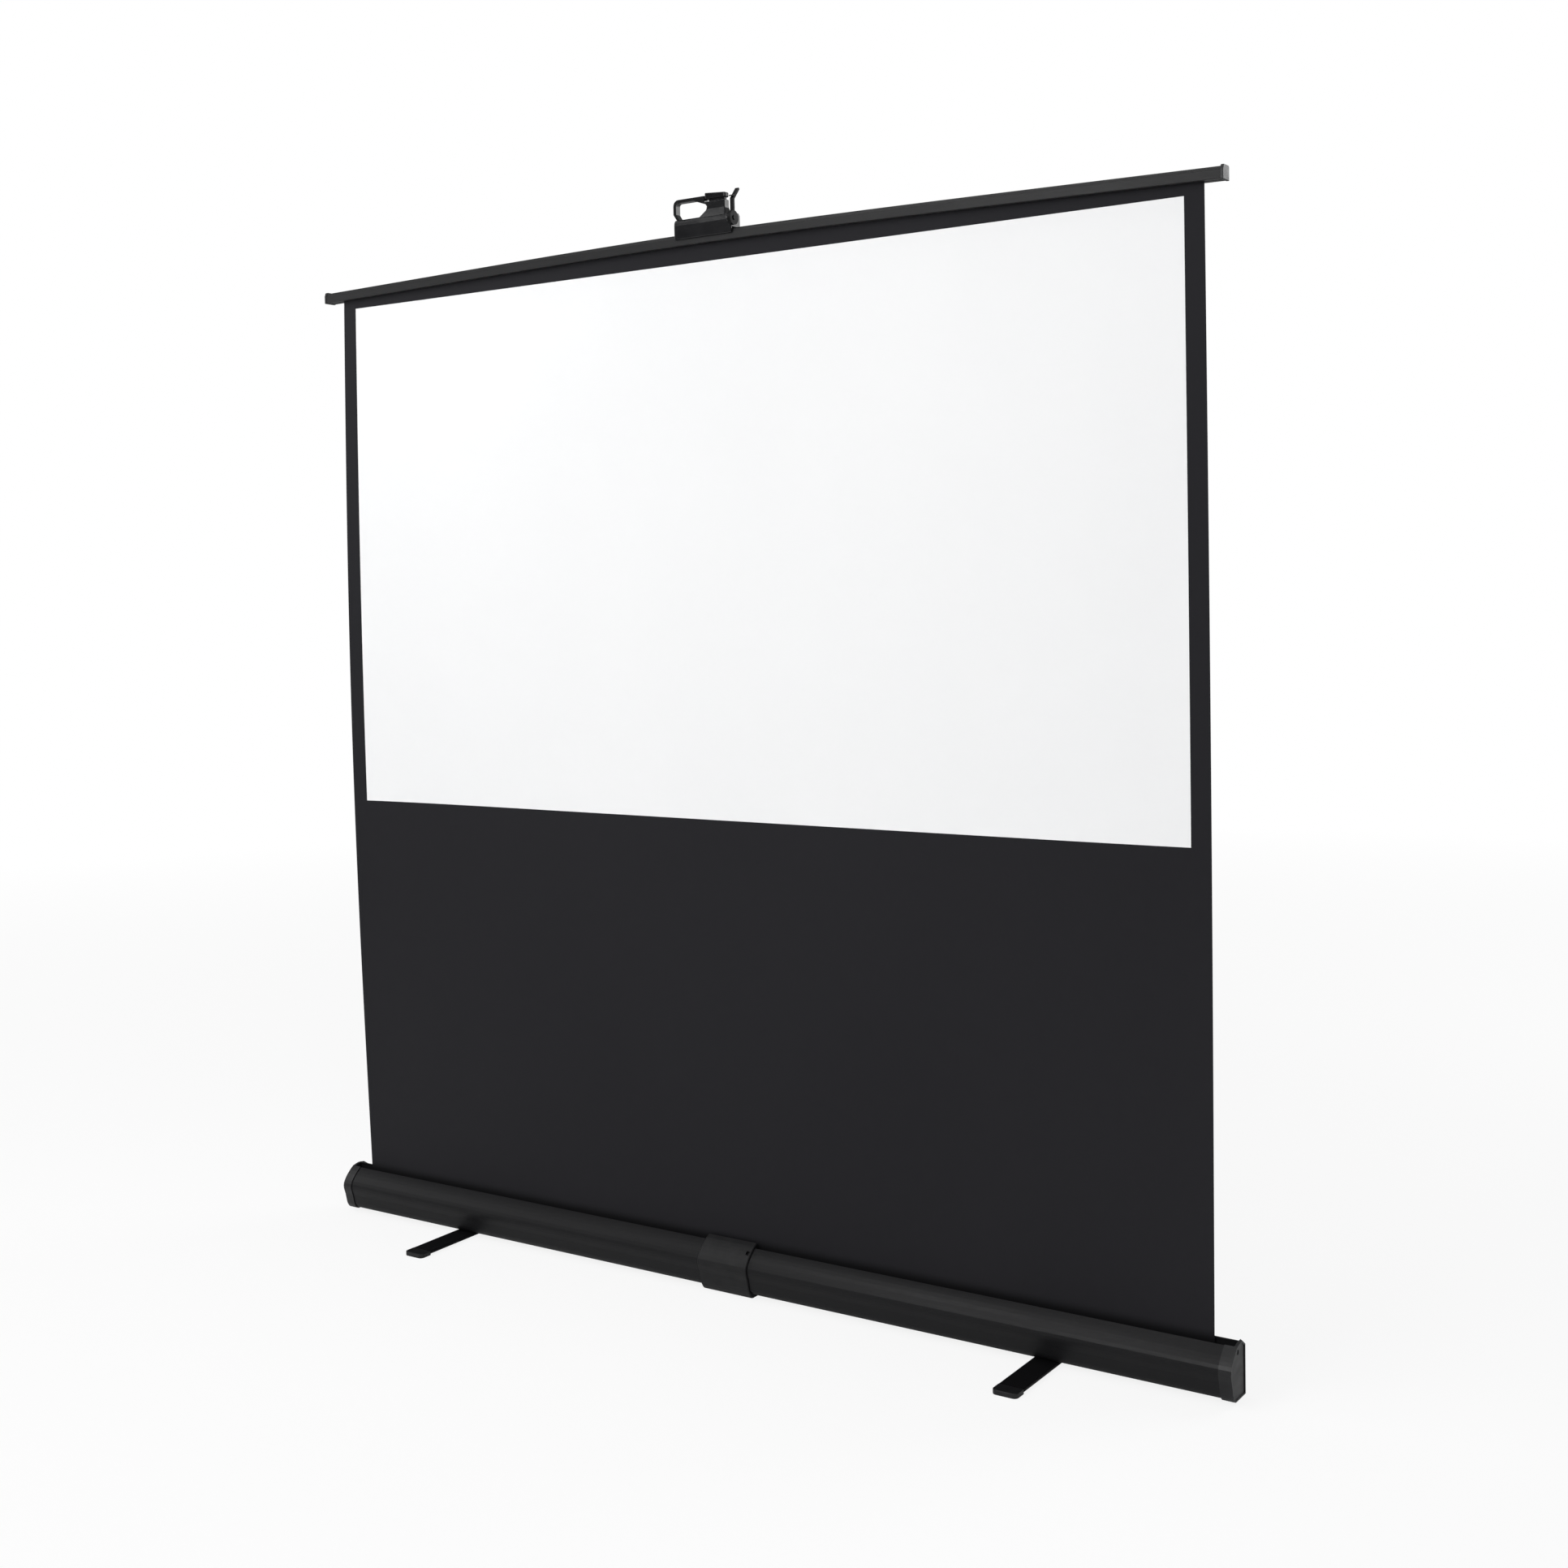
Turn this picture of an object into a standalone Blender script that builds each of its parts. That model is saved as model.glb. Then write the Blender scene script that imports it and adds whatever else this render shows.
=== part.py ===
"""Pop-up floor projector screen, raised on knee arms whose ends are geared together. Metres, +Z up.

The fabric hangs in the plane Y = FABRIC_Y and faces -Y. X = 0 is the middle of the case and Z = 0 the floor.
"""

import math

import bmesh
import bpy
from mathutils import Matrix, Vector
from mathutils.geometry import tessellate_polygon

MM = 0.001

# Picture and frame
WHITE_WIDTH = 1771 * MM
WHITE_HEIGHT = 996 * MM
WHITE_BOTTOM_Z = 859 * MM
SIDE_BORDER = 33 * MM
HEADER_BORDER = 16.5 * MM
FABRIC_Y = 8 * MM
FABRIC_THICKNESS = 0.5 * MM
LEFT_EDGE_CURL = -17 * MM
RIGHT_EDGE_CURL = 6 * MM
CURL_WIDTH = 420 * MM

# Clearances
TOUCH = 0.3 * MM
RUNNING = 0.3 * MM
JOIN = 1 * MM

# Case
CASE_OVERHANG = 42.5 * MM
CASE_FRONT_REACH = 40.5 * MM
CASE_HEIGHT = 85.5 * MM
CASE_FLOOR_GAP = 9 * MM
WALL = 1.8 * MM
LIP_FALL = 4.5 * MM
LIP_DROP = 6 * MM
SLOT_FRONT = 13 * MM
SLOT_BACK = 2.5 * MM
PARTITION = 1.5 * MM
CHANNEL_ROOM = 2.6 * MM
BACK_WALL_DROP = 9.5 * MM
BELLY_HEIGHT = 47 * MM
CREASE_DROP = 17.5 * MM
CREASE_INSET = 4.4 * MM
HEEL_DROP = 34 * MM
HEEL_INSET = 8 * MM
HEEL_RUN = 11.5 * MM
CASE_EDGE = 2 * MM
CAP_PLATE = 3.8 * MM
CAP_RIM = 1.4 * MM
CAP_RIM_WIDTH = 2.8 * MM
CAP_PROUD = 1.5 * MM
CAP_TAPER = 6 * MM
CAP_TOP_SLOPE = 12 * MM
CAP_SOLE = 0.8 * MM
CAP_SLEEVE = 16 * MM
CAP_SLEEVE_STOP = 14 * MM
CAP_PLUG = 9 * MM
CAP_DIMPLE_RADIUS = 4.2 * MM
CAP_DIMPLE_Y = -1.5 * MM
CAP_DIMPLE_DROP = 13 * MM

# Roller
TUBE_RADIUS = 13 * MM
TUBE_WALL = 1 * MM
TUBE_END_GAP = 7.5 * MM
ROLLER_Z = 44 * MM
WRAP_THICKNESS = 0.65 * MM
SPINDLE_RADIUS = 3 * MM
SPINDLE_LENGTH = 316 * MM
COLLAR_LENGTH = 10 * MM
PLUG_LENGTH = 18 * MM
PLUG_FLANGE = 1.5 * MM
ROLLER_SPRING_WIRE = 1.6 * MM
ROLLER_SPRING_RADIUS = 9 * MM
ROLLER_SPRING_TURNS = 12
ROLLER_SPRING_END_GAP = 2 * MM
COIL_POINTS = 8

# Lift
PIVOT_Z = 31 * MM
RAISED_ANGLE = math.radians(78)
CLOSED_ANGLE = math.radians(1.2)
CLOSED_GAP = 2.5 * MM
GEAR_TEETH = 14
GEAR_MODULE = 2 * MM
PRESSURE_ANGLE = math.radians(20)
BACKLASH = 0.5 * MM
ARM_WIDTH = 22 * MM
ARM_THICKNESS = 2.7 * MM
ARM_END_EXTRA = 1.5 * MM
ARM_GAP = 4.6 * MM
PIN_RADIUS = 4 * MM
PIN_HEAD_RADIUS = 6.3 * MM
PIN_HEAD = 1.2 * MM
ELBOW_SPRING_WIRE = 1 * MM
ELBOW_SPRING_RADIUS = 5.9 * MM
ELBOW_SPRING_LEG = 11 * MM
ELBOW_SPRING_STEPS = 22
TOP_PLATE = 2.6 * MM
BASE_PLATE = 2.3 * MM
BASE_PLATE_HALF = 46 * MM
BASE_PLATE_TOP = 34 * MM
BASE_PLATE_BOTTOM = 18 * MM
TONGUE_HALF = 29 * MM
TONGUE_DROP = 14.5 * MM
TOP_PLATE_INSET = 8 * MM
TOP_PLATE_DROP = 5 * MM
TOP_SCREW_INSET = 22 * MM
PLATE_CORNER = 5 * MM
SCREW_RADIUS = 2 * MM
SCREW_HEAD_RADIUS = 3.8 * MM
SCREW_HEAD = 1.6 * MM
SCREW_GRIP = 6 * MM
SCREW_HOLE_SPARE = 2 * MM

# Header bar
BAR_OVERHANG = 38.5 * MM
BAR_SHIFT = -4 * MM
BAR_DEPTH = 24 * MM
BAR_HEIGHT = 19.5 * MM
BAR_BOW = 14.5 * MM
BAR_WALL = 1.6 * MM
BAR_STEP = 1.2 * MM
BAR_CROWN = 5.5 * MM
BAR_EDGE = 0.8 * MM
BAR_CORNER = 2 * MM
BAR_SCREW_DROP = 4.2 * MM
GROOVE_HALF = 1.6 * MM
GROOVE_CAVITY_HALF = 3.6 * MM
GROOVE_CAVITY_HEIGHT = 6 * MM
SPLINE_RADIUS = 2.6 * MM
BAR_CAP = 5 * MM
BAR_CAP_PROUD = 0.8 * MM
BAR_CAP_RISE = 1.5 * MM
BAR_PLUG = 12 * MM
BAR_PLUG_FRONT = 5.5 * MM
BAR_CAP_ROUND = 0.8 * MM

# Handle, measured from the middle of the bar and from its top
BASE_LEFT = -64.5 * MM
BASE_RIGHT = 59.7 * MM
BASE_WALL = 3.7 * MM
BASE_TOP = 26 * MM
BASE_SKIRT = 9.5 * MM
BASE_SHOULDER = 14.5 * MM
BASE_CROWN = 8 * MM
BASE_CHAMFER = 4 * MM
BASE_ROUND = 1.2 * MM
STRAP = 6 * MM
STRAP_DEPTH = 13 * MM
STRAP_LEFT = -72.3 * MM
STRAP_TOP = 62.5 * MM
STRAP_CORNER = 11 * MM
STRAP_FOOT = 8 * MM
STRAP_SINK = 3 * MM
STRAP_WAIST = 2 * MM
STRAP_ROUND = 1.4 * MM
OPENING_TOP_RUN = 29 * MM
OPENING_SIDE_DROP = 19 * MM
OPENING_FOOT_RUN = 25 * MM
TOWER_LEFT = 1.5 * MM
TOWER_RIGHT = 40.5 * MM
TOWER_TOP = 51.5 * MM
TOWER_FOOT = 15 * MM
TOWER_CORNER = 2 * MM
TOWER_SKIN = 0.1 * MM
TOWER_FOOT_SINK = 2 * MM
TOWER_FOOT_CORNER = 3 * MM
BUTTON_LEFT = -3.4 * MM
BUTTON_RIGHT = 41 * MM
BUTTON_UNDERSIDE = 56 * MM
BUTTON_TOP = 67.5 * MM
BUTTON_SLOPE = 3.2 * MM
BUTTON_NECK_DEPTH = 8 * MM
BUTTON_NECK_INSET = 2.5 * MM
BUTTON_NECK_LENGTH = 12 * MM
BUTTON_NECK_SINK = 3 * MM
BUTTON_CORNER = 3 * MM
BUTTON_ROUND = 1.5 * MM
BUTTON_SPRING_LENGTH = 10 * MM
BUTTON_SPRING_WIRE = 0.8 * MM
BUTTON_SPRING_RADIUS = 2.6 * MM
BUTTON_SPRING_TURNS = 6

# Latch
LEVER_Y = -8 * MM
LEVER_CLEAR = 2.5 * MM
LEVER_LENGTH = 33 * MM
LEVER_TAB = 26 * MM
LEVER_LEAN = math.radians(40)
LEVER_THICKNESS = 4.2 * MM
LEVER_WIDTH = 7 * MM
HUB_RADIUS = 12.5 * MM
HOOK_START = 36.5 * MM
HOOK_THICKNESS = 3 * MM
HOOK_REACH = 5.5 * MM
LATCH_PIN_RADIUS = 2.2 * MM
LATCH_BOSS_RADIUS = 7 * MM
LATCH_BOSS = 6 * MM
BAND_X = 3.2 * MM
BAND_WIDTH = 107 * MM
BAND_THICKNESS = 4 * MM
BAND_EDGE = 1.4 * MM
BAND_GROUND_GAP = 1.2 * MM
BAND_STOP = 16 * MM
BAND_TOP_REACH = 8 * MM
CATCH_X = 50 * MM
CATCH_DROP = 10.5 * MM
CATCH_WIDTH = 8 * MM
CATCH_HEIGHT = 5 * MM
CATCH_CORNER = 2 * MM

# Feet
FOOT_X = 638 * MM
FOOT_LENGTH = 328 * MM
FOOT_WIDTH = 45 * MM
FOOT_THICKNESS = 6 * MM
FOOT_WALL = 1.2 * MM
FOOT_CASE_GAP = 0.5 * MM
FOOT_CAP = 26 * MM
FOOT_CAP_CORNER = 8 * MM
FOOT_CAP_PLUG = 15 * MM
FOOT_CAP_SINK = 2 * MM
FOOT_CORNER = 2 * MM
FOOT_BOLT_HEAD_RADIUS = 9 * MM
FOOT_BOLT_HEAD = 1.5 * MM

# Places that follow from the sizes
CASE_BOTTOM_Z = CASE_FLOOR_GAP
CASE_TOP_Z = CASE_BOTTOM_Z + CASE_HEIGHT
CASE_FLOOR_Z = CASE_BOTTOM_Z + WALL
CASE_FRONT_Y = FABRIC_Y - CASE_FRONT_REACH
LIP_Y = FABRIC_Y - SLOT_FRONT
LIP_Z = CASE_TOP_Z - LIP_FALL
BACK_WALL_TOP_Z = CASE_TOP_Z - BACK_WALL_DROP
BELLY_Z = CASE_BOTTOM_Z + BELLY_HEIGHT
FLAT_BOTTOM_Y = CASE_FRONT_Y + HEEL_INSET + HEEL_RUN
CAP_BOTTOM_Z = CASE_BOTTOM_Z - CAP_SOLE
FABRIC_HALF = WHITE_WIDTH / 2 + SIDE_BORDER
CAP_INNER_X = FABRIC_HALF + CASE_OVERHANG - CAP_RIM - CAP_PLATE
HOUSING_HALF = CAP_INNER_X - TOUCH
PLUG_INNER_X = CAP_INNER_X - CAP_PLUG
CATCH_Z = CASE_TOP_Z - CATCH_DROP

WRAP_RADIUS = TUBE_RADIUS + TOUCH + WRAP_THICKNESS
ROLLER_Y = FABRIC_Y - FABRIC_THICKNESS / 2 - TOUCH - WRAP_RADIUS
TUBE_HALF = PLUG_INNER_X - TUBE_END_GAP
TUBE_BORE = TUBE_RADIUS - TUBE_WALL
COIL_INNER_SHARE = math.cos(math.pi / COIL_POINTS)
SPRING_SEAT_RADIUS = ROLLER_SPRING_RADIUS * COIL_INNER_SHARE - 0.55 * ROLLER_SPRING_WIRE - TOUCH

BAR_X = BAR_SHIFT
BAR_HALF = FABRIC_HALF + BAR_OVERHANG
BAR_PROFILE_HALF = BAR_HALF - BAR_CAP - TOUCH
BAR_END_BOTTOM_Z = WHITE_BOTTOM_Z + WHITE_HEIGHT + HEADER_BORDER
BAR_BOTTOM_Z = BAR_END_BOTTOM_Z + BAR_BOW
BAR_TOP_Z = BAR_BOTTOM_Z + BAR_HEIGHT
BAR_FRONT_Y = FABRIC_Y - BAR_DEPTH / 2
BAR_BACK_Y = FABRIC_Y + BAR_DEPTH / 2
SPLINE_Z = BAR_BOTTOM_Z + BAR_WALL + GROOVE_CAVITY_HEIGHT / 2
FABRIC_TOP_Z = SPLINE_Z - SPLINE_RADIUS - TOUCH
TRAVEL = BAR_END_BOTTOM_Z - (CASE_TOP_Z + CLOSED_GAP)

GEAR_RADIUS = GEAR_TEETH * GEAR_MODULE / 2
ARM_END_RADIUS = ARM_WIDTH / 2 + ARM_END_EXTRA
ARM_LENGTH = TRAVEL / (2 * (math.sin(RAISED_ANGLE) - math.sin(CLOSED_ANGLE)))
TOP_PIVOT_Z = PIVOT_Z + 2 * ARM_LENGTH * math.sin(RAISED_ANGLE)
ELBOW_X = GEAR_RADIUS + ARM_LENGTH * math.cos(RAISED_ANGLE)
ELBOW_Z = PIVOT_Z + ARM_LENGTH * math.sin(RAISED_ANGLE)
TOP_PLATE_Y = BAR_BACK_Y + TOUCH
UPPER_ARM_Y = TOP_PLATE_Y - RUNNING - ARM_THICKNESS
LOWER_ARM_Y = UPPER_ARM_Y + ARM_THICKNESS + ARM_GAP
BASE_PLATE_Y = LOWER_ARM_Y + ARM_THICKNESS + RUNNING
BASE_PLATE_BACK_Y = BASE_PLATE_Y + BASE_PLATE

CHANNEL_FRONT_Y = UPPER_ARM_Y - TOUCH - PIN_HEAD - CHANNEL_ROOM
CHANNEL_BACK_Y = BASE_PLATE_BACK_Y + TOUCH
PARTITION_Y = CHANNEL_FRONT_Y - PARTITION
CASE_BACK_Y = CHANNEL_BACK_Y + WALL
CAP_TOP_BACK_Y = CASE_BACK_Y - CAP_TOP_SLOPE
CAP_SLEEVE_BACK_Y = CASE_BACK_Y - CAP_SLEEVE_STOP
BAND_BACK_Y = CASE_BACK_Y - BAND_STOP

BASE_FRONT_Y = BAR_FRONT_Y - TOUCH - BASE_WALL
STRAP_FRONT_Y = FABRIC_Y - STRAP_DEPTH / 2
STRAP_BACK_Y = FABRIC_Y + STRAP_DEPTH / 2
LEVER_X = BAR_X + BASE_RIGHT + RUNNING
LEVER_Z = BAR_TOP_Z + HUB_RADIUS + LEVER_CLEAR
BUTTON_NECK_LEFT = BAR_X + TOWER_LEFT + BUTTON_NECK_INSET
BUTTON_NECK_RIGHT = BAR_X + TOWER_RIGHT - BUTTON_NECK_INSET
BUTTON_X = (BUTTON_NECK_LEFT + BUTTON_NECK_RIGHT) / 2
BUTTON_NECK_Z = BAR_TOP_Z + BUTTON_UNDERSIDE - BUTTON_NECK_LENGTH
BUTTON_POCKET_Z = BUTTON_NECK_Z - BUTTON_SPRING_LENGTH - 2 * TOUCH

FOOT_TOP_Z = CASE_BOTTOM_Z - FOOT_CASE_GAP
FOOT_BOTTOM_Z = FOOT_TOP_Z - FOOT_THICKNESS
FOOT_TUBE_HALF = FOOT_LENGTH / 2 - FOOT_CAP - TOUCH

FINISHES = {
    "case_black": ((0.030, 0.031, 0.033), 0.42, 0.6),
    "cap_grey": ((0.110, 0.110, 0.115), 0.55, 0.0),
    "fabric_white": ((0.920, 0.920, 0.920), 0.85, 0.0),
    "fabric_black": ((0.016, 0.016, 0.018), 0.80, 0.0),
    "steel": ((0.420, 0.420, 0.430), 0.38, 1.0),
    "arm_black": ((0.025, 0.025, 0.027), 0.45, 0.5),
    "aluminium": ((0.550, 0.550, 0.560), 0.35, 1.0),
    "handle_black": ((0.040, 0.041, 0.044), 0.50, 0.0),
    "button_black": ((0.012, 0.012, 0.013), 0.40, 0.0),
}


def material(finish):
    """The Principled material of a named finish, made once."""
    found = bpy.data.materials.get(finish)
    if found:
        return found
    colour, roughness, metallic = FINISHES[finish]
    made = bpy.data.materials.new(finish)
    made.use_nodes = True
    shader = made.node_tree.nodes["Principled BSDF"]
    shader.inputs["Base Color"].default_value = (*colour, 1.0)
    shader.inputs["Roughness"].default_value = roughness
    shader.inputs["Metallic"].default_value = metallic
    return made


def add_mesh(name, bm, finish=None, smooth=True):
    """Turns a bmesh into an object of the scene."""
    bmesh.ops.recalc_face_normals(bm, faces=bm.faces)
    mesh = bpy.data.meshes.new(name)
    bm.to_mesh(mesh)
    bm.free()
    if smooth:
        mesh.shade_smooth()
        mesh.set_sharp_from_angle(angle=math.radians(35))
    obj = bpy.data.objects.new(name, mesh)
    bpy.context.scene.collection.objects.link(obj)
    if finish:
        mesh.materials.append(material(finish))
    return obj


def arc(centre, radius, start, end, steps):
    """Points along an arc, both ends included, with angles in radians."""
    angles = [start + (end - start) * i / steps for i in range(steps + 1)]
    return [(centre[0] + radius * math.cos(a), centre[1] + radius * math.sin(a)) for a in angles]


def circle(x, y, radius, steps=20):
    """The outline of a round hole or pin."""
    return arc((x, y), radius, 0, 2 * math.pi * (steps - 1) / steps, steps - 1)


def bezier(p0, p1, p2, p3, steps):
    """Points of a cubic curve, both ends included."""
    points = []
    for i in range(steps + 1):
        t = i / steps
        s = 1 - t
        weights = (s**3, 3 * s * s * t, 3 * s * t * t, t**3)
        points.append(tuple(sum(w * p[k] for w, p in zip(weights, (p0, p1, p2, p3))) for k in (0, 1)))
    return points


def rounded_box(x0, x1, y0, y1, radius, steps=3):
    """A rectangle's outline with rounded corners, counter-clockwise."""
    corners = ((x1 - radius, y0 + radius, -90), (x1 - radius, y1 - radius, 0))
    corners += ((x0 + radius, y1 - radius, 90), (x0 + radius, y0 + radius, 180))
    outline = []
    for x, y, start in corners:
        outline += arc((x, y), radius, math.radians(start), math.radians(start + 90), steps)
    return outline


def offset_path(points, distance):
    """An open path moved sideways, to the right of its direction when the distance is positive."""
    moved = []
    for i, point in enumerate(points):
        here = Vector(point)
        normals = []
        for run in (here - Vector(points[max(i - 1, 0)]), Vector(points[min(i + 1, len(points) - 1)]) - here):
            if run.length > 0:
                run.normalize()
                normals.append(Vector((run.y, -run.x)))
        normal = sum(normals, Vector((0.0, 0.0))).normalized()
        moved.append(tuple(here + normal * distance / max(normal.dot(normals[0]), 0.5)))
    return moved


def loft(sections, place):
    """A closed solid through sections of (station, loops). The first loop is the outside, others bores."""
    bm = bmesh.new()
    rings = []
    for station, loops in sections:
        rings.append([[bm.verts.new(place(a, b, station)) for a, b in loop] for loop in loops])
    for near, far in zip(rings, rings[1:]):
        for ring_a, ring_b in zip(near, far):
            for i, vert in enumerate(ring_a):
                j = (i + 1) % len(ring_a)
                bm.faces.new((vert, ring_a[j], ring_b[j], ring_b[i]))
    for index in (0, -1):
        loops = sections[index][1]
        if len(loops) == 1:
            bm.faces.new(rings[index][0])
            continue
        verts = [vert for ring in rings[index] for vert in ring]
        for corners in tessellate_polygon([[Vector((a, b, 0)) for a, b in loop] for loop in loops]):
            bm.faces.new([verts[i] for i in corners])
    return bm


def along_x(name, loops, x0, x1, finish=None):
    """A straight profile piece along X, from loops of (y, z)."""
    sections = [(x, loops) for x in sorted((x0, x1))]
    return add_mesh(name, loft(sections, lambda y, z, x: (x, y, z)), finish)


def flat_piece(name, loops, y0, y1, finish=None):
    """A flat piece in the XZ plane, from loops of (x, z)."""
    return add_mesh(name, loft([(y0, loops), (y1, loops)], lambda x, z, y: (x, y, z)), finish)


def level_piece(name, loops, z0, z1, finish=None):
    """A flat piece that lies level, from loops of (x, y)."""
    return add_mesh(name, loft([(z0, loops), (z1, loops)], lambda x, y, z: (x, y, z)), finish)


def bow(x):
    """How far the header bar droops at a place: a beam held at its middle under an even load."""
    s = abs(x - BAR_X) / BAR_HALF
    return -BAR_BOW * (6 * s**2 - 4 * s**3 + s**4) / 3


def along_bow(name, loops, x0, x1, steps, finish=None):
    """A profile piece that follows the header bar's bow, from loops of (y, z)."""
    sections = [(x0 + (x1 - x0) * i / steps, loops) for i in range(steps + 1)]
    return add_mesh(name, loft(sections, lambda y, z, x: (x, y, z + bow(x))), finish)


def turned(name, profile, axis="Z", finish=None, segments=20):
    """A turned piece from (along the axis, radius). A profile that leaves the axis free makes a ring."""
    bm = bmesh.new()
    solid = profile[0][1] == 0
    rings = []
    for along, radius in profile[1:-1] if solid else profile:
        angles = [2 * math.pi * i / segments for i in range(segments)]
        rings.append([bm.verts.new((radius * math.cos(a), radius * math.sin(a), along)) for a in angles])
    pairs = list(zip(rings, rings[1:]))
    if solid:
        bm.faces.new(rings[0])
        bm.faces.new(rings[-1])
    else:
        pairs.append((rings[-1], rings[0]))
    for near, far in pairs:
        for i in range(segments):
            j = (i + 1) % segments
            bm.faces.new((near[i], near[j], far[j], far[i]))
    turn = {"X": Matrix.Rotation(math.pi / 2, 4, "Y"), "Y": Matrix.Rotation(-math.pi / 2, 4, "X")}
    if axis in turn:
        bmesh.ops.transform(bm, matrix=turn[axis], verts=bm.verts)
    return add_mesh(name, bm, finish)


def stepped(*steps):
    """A solid shaft's profile for turned(), from steps of (start, end, radius) in order."""
    profile = [(steps[0][0], 0)]
    for start, end, radius in steps:
        profile += [(start, radius), (end, radius)]
    return profile + [(steps[-1][1], 0)]


def at(obj, x=0.0, y=0.0, z=0.0, turn_y=0.0):
    """Places an object, with a turn about Y."""
    obj.location = (x, y, z)
    obj.rotation_euler = (0, turn_y, 0)
    return obj


def boolean(obj, other, operation="DIFFERENCE"):
    """Adds a Boolean with a helper, which is then left out of the model."""
    other.hide_render = True
    other.display_type = "WIRE"
    modifier = obj.modifiers.new(operation.title(), "BOOLEAN")
    modifier.operation = operation
    modifier.solver = "EXACT"
    modifier.object = other
    return obj


def drill(obj, label, axis, start, end, radius, place, steps=16):
    """Cuts a round hole that runs along an axis between two places on it."""
    tool = turned("%s_%s" % (obj.name, label), stepped((start, end, radius)), axis, None, steps)
    tool.location = place
    return boolean(obj, tool)


def bevel(obj, width, segments=2, angle=40):
    """Rounds the piece's sharp edges."""
    modifier = obj.modifiers.new("Bevel", "BEVEL")
    modifier.width = width
    modifier.segments = segments
    modifier.limit_method = "ANGLE"
    modifier.angle_limit = math.radians(angle)
    return obj


def wire(name, points, thickness, finish):
    """A bent wire or a coil, as one unbroken round tube."""
    data = bpy.data.curves.new(name, "CURVE")
    data.dimensions = "3D"
    data.bevel_depth = thickness / 2
    data.bevel_resolution = 1
    data.use_fill_caps = True
    spline = data.splines.new("POLY")
    spline.points.add(len(points) - 1)
    for target, point in zip(spline.points, points):
        target.co = (*point, 1.0)
    obj = bpy.data.objects.new(name, data)
    bpy.context.scene.collection.objects.link(obj)
    data.materials.append(material(finish))
    return obj


def coil(radius, pitch, turns, place):
    """Points of a helix, with place(a, b, along) giving each point its axes."""
    points = []
    for i in range(turns * COIL_POINTS + 1):
        angle = 2 * math.pi * i / COIL_POINTS
        points.append(place(radius * math.cos(angle), radius * math.sin(angle), pitch * i / COIL_POINTS))
    return points


def print_least_gap(name, points, thickness):
    """Prints the least gap of a coil to itself, in millimetres."""
    skip = COIL_POINTS // 2
    gaps = [(Vector(a) - Vector(b)).length for i, a in enumerate(points) for b in points[i + skip :]]
    print("%s: least gap to itself %.2f mm" % (name, (min(gaps) - thickness) / MM))


def screw(name, length, axis):
    """A domed screw whose head sits on the positive side of its origin and whose shank runs the other way."""
    profile = stepped((-length, 0, SCREW_RADIUS), (0, SCREW_HEAD * 0.6, SCREW_HEAD_RADIUS))
    profile[-1:] = [(SCREW_HEAD, SCREW_HEAD_RADIUS * 0.55), (SCREW_HEAD, 0)]
    return turned(name, profile, axis, "steel", 10)


def shoulder():
    """The rounded slope from the lip down to the belly of the case, as (y, z)."""
    reach = LIP_Y - CASE_FRONT_Y
    drop = LIP_Z - BELLY_Z
    first = (LIP_Y - 0.37 * reach, LIP_Z - 0.2 * drop)
    second = (CASE_FRONT_Y, BELLY_Z + 0.34 * drop)
    return bezier((LIP_Y, LIP_Z), first, second, (CASE_FRONT_Y, BELLY_Z), 7)


def under_front(proud, bottom_z):
    """From just below the belly down the face that leans in, and round to the flat bottom, as (y, z)."""
    front_y = CASE_FRONT_Y - proud
    crease = (front_y + CREASE_INSET, BELLY_Z - CREASE_DROP)
    heel = (front_y + HEEL_INSET, BELLY_Z - HEEL_DROP)
    first = (front_y, BELLY_Z - 0.35 * CREASE_DROP)
    second = (crease[0] - 0.4 * CREASE_INSET, crease[1] + 0.35 * CREASE_DROP)
    path = bezier((front_y, BELLY_Z), first, second, crease, 4)[1:]
    lean = (heel[0] - crease[0]) / (crease[1] - heel[1])
    fall = 0.4 * (heel[1] - bottom_z)
    first = (heel[0] + lean * fall, heel[1] - fall)
    second = ((heel[0] + FLAT_BOTTOM_Y) / 2, bottom_z)
    return path + bezier(heel, first, second, (FLAT_BOTTOM_Y, bottom_z), 5)


def case_front(bottom_z=CASE_BOTTOM_Z):
    """The outside of the case from its lip down the front to its flat bottom, as (y, z)."""
    return shoulder() + under_front(0, bottom_z)


def wrap_section(outer, back_y, start=()):
    """The section of a piece that wraps the case's front and bottom, from its outer path, as (y, z)."""
    path = list(start) + case_front() + [(back_y, CASE_BOTTOM_Z)]
    outside = [(y, z) for y, z in outer if y < back_y]
    return offset_path(path, TOUCH) + [(back_y, outer[-1][1])] + outside[::-1]


def end_screw_places():
    """Where screws come up through the case's floor into its end caps."""
    x = (CAP_INNER_X + PLUG_INNER_X) / 2
    return [(side * x, y) for side in (-1, 1) for y in (FLAT_BOTTOM_Y + 2 * SCREW_HEAD_RADIUS, FABRIC_Y)]


def base_screw_places():
    """Where screws go through the case's back into the lift's base plate."""
    x = BASE_PLATE_HALF - 2.5 * SCREW_HEAD_RADIUS
    margin = 1.8 * SCREW_HEAD_RADIUS
    heights = (PIVOT_Z - BASE_PLATE_BOTTOM + margin, PIVOT_Z + BASE_PLATE_TOP - margin)
    return [(side * x, z) for side in (-1, 1) for z in heights]


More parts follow.
